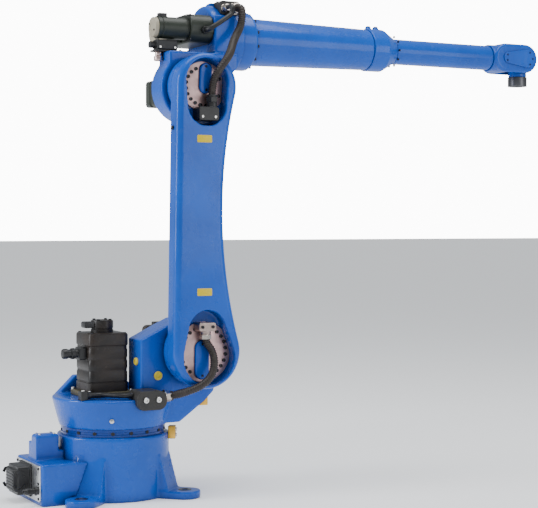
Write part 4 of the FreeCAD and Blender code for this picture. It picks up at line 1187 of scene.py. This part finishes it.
cast("wrist_tube", FOREARM, 0.0016)
cast("wrist_yoke", FOREARM, 0.0016)
cast("wrist_side_covers", FOREARM, 0.0012, passes=4)
cover_low, cover_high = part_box("wrist_side_covers")
flange_low, flange_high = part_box("tool_flange")
bend_axis = Vector(((flange_low.x + flange_high.x) / 2, 0, (cover_low.z + cover_high.z) / 2))
cover_spots = []
for side in (-Y, Y):
    face = side * (cover_high.y - 0.0004)
    for angle in (-60, 0, 60):
        out = X * math.cos(math.radians(angle)) + Z * math.sin(math.radians(angle))
        cover_spots.append((bend_axis + face + out * 0.0225, side))
    for up in (-1, 1):
        cover_spots.append((Vector((cover_low.x + 0.013, 0, bend_axis.z + up * 0.009)) + face,
                            side))
screws("wrist_cover_screws", FOREARM, cover_spots, 0.0027, 0.0022)
cast("wrist_body", "wrist", 0.0015)
trim("tool_flange", "tool_flange", 0.0007, dark_steel, "dark_steel")


# ------------------------------------------------------------------ studio
# A pale floor under a soft overhead panel, with a window light behind the rear left side.

camera_data = bpy.data.cameras.new("camera")
camera_data.lens = 97.16
camera_data.shift_y = -0.0558
camera = linked("camera", camera_data)
camera.location = (-1.559, -3.884, 0.771)
camera.rotation_euler = (math.radians(90), 0, math.radians(-28))
bpy.context.scene.camera = camera

floor_mesh = bpy.data.meshes.new("floor")
floor_mesh.from_pydata([(-60, -60, 0), (60, -60, 0), (60, 60, 0), (-60, 60, 0)], [], [(0, 1, 2, 3)])
floor = linked("floor", floor_mesh)
floor_coat = Finish("pale_floor", specular=0.2)
floor_coat.shader.inputs["Emission Color"].default_value = (1, 1, 1, 1)
floor_coat.shader.inputs["Emission Strength"].default_value = 0.30
floor_mesh.materials.append(floor_coat.finish((0.93, 0.94, 0.95), 0.75))

world = bpy.data.worlds.new("studio")
world.use_nodes = True
sky = world.node_tree
soft = sky.nodes["Background"]
soft.inputs["Color"].default_value = (0.90, 0.95, 1.0, 1)
soft.inputs["Strength"].default_value = 0.55
bright = sky.nodes.new("ShaderNodeBackground")
bright.inputs["Color"].default_value = (1.0, 1.0, 1.0, 1)
bright.inputs["Strength"].default_value = 12.0
path = sky.nodes.new("ShaderNodeLightPath")
choose = sky.nodes.new("ShaderNodeMixShader")
sky.links.new(path.outputs["Is Camera Ray"], choose.inputs[0])
sky.links.new(soft.outputs[0], choose.inputs[1])
sky.links.new(bright.outputs[0], choose.inputs[2])
sky.links.new(choose.outputs[0], sky.nodes["World Output"].inputs[0])
bpy.context.scene.world = world


def panel_light(name, place, aim, size, power, gloss=1.0, tint=(1, 1, 1)):
    lamp = bpy.data.lights.new(name, "AREA")
    lamp.shape = "RECTANGLE"
    lamp.size, lamp.size_y = size
    lamp.energy = power
    lamp.specular_factor = gloss
    lamp.color = tint
    holder = linked(name, lamp)
    holder.location = place
    holder.rotation_euler = (Vector(aim) - Vector(place)).to_track_quat("-Z", "Y").to_euler()


panel_light("overhead_panel", (0.4, -0.6, 4.2), (0.3, 0.0, 0.7), (3.6, 2.4), 130)
panel_light("rear_window", (-3.6, 0.6, 1.9), (0.1, 0.0, 0.8), (1.2, 2.6), 120, 1.0,
            (0.92, 0.95, 1.0))
panel_light("front_fill", (2.6, -3.6, 1.5), (0.3, 0.0, 0.7), (2.0, 2.0), 38, 0.15)
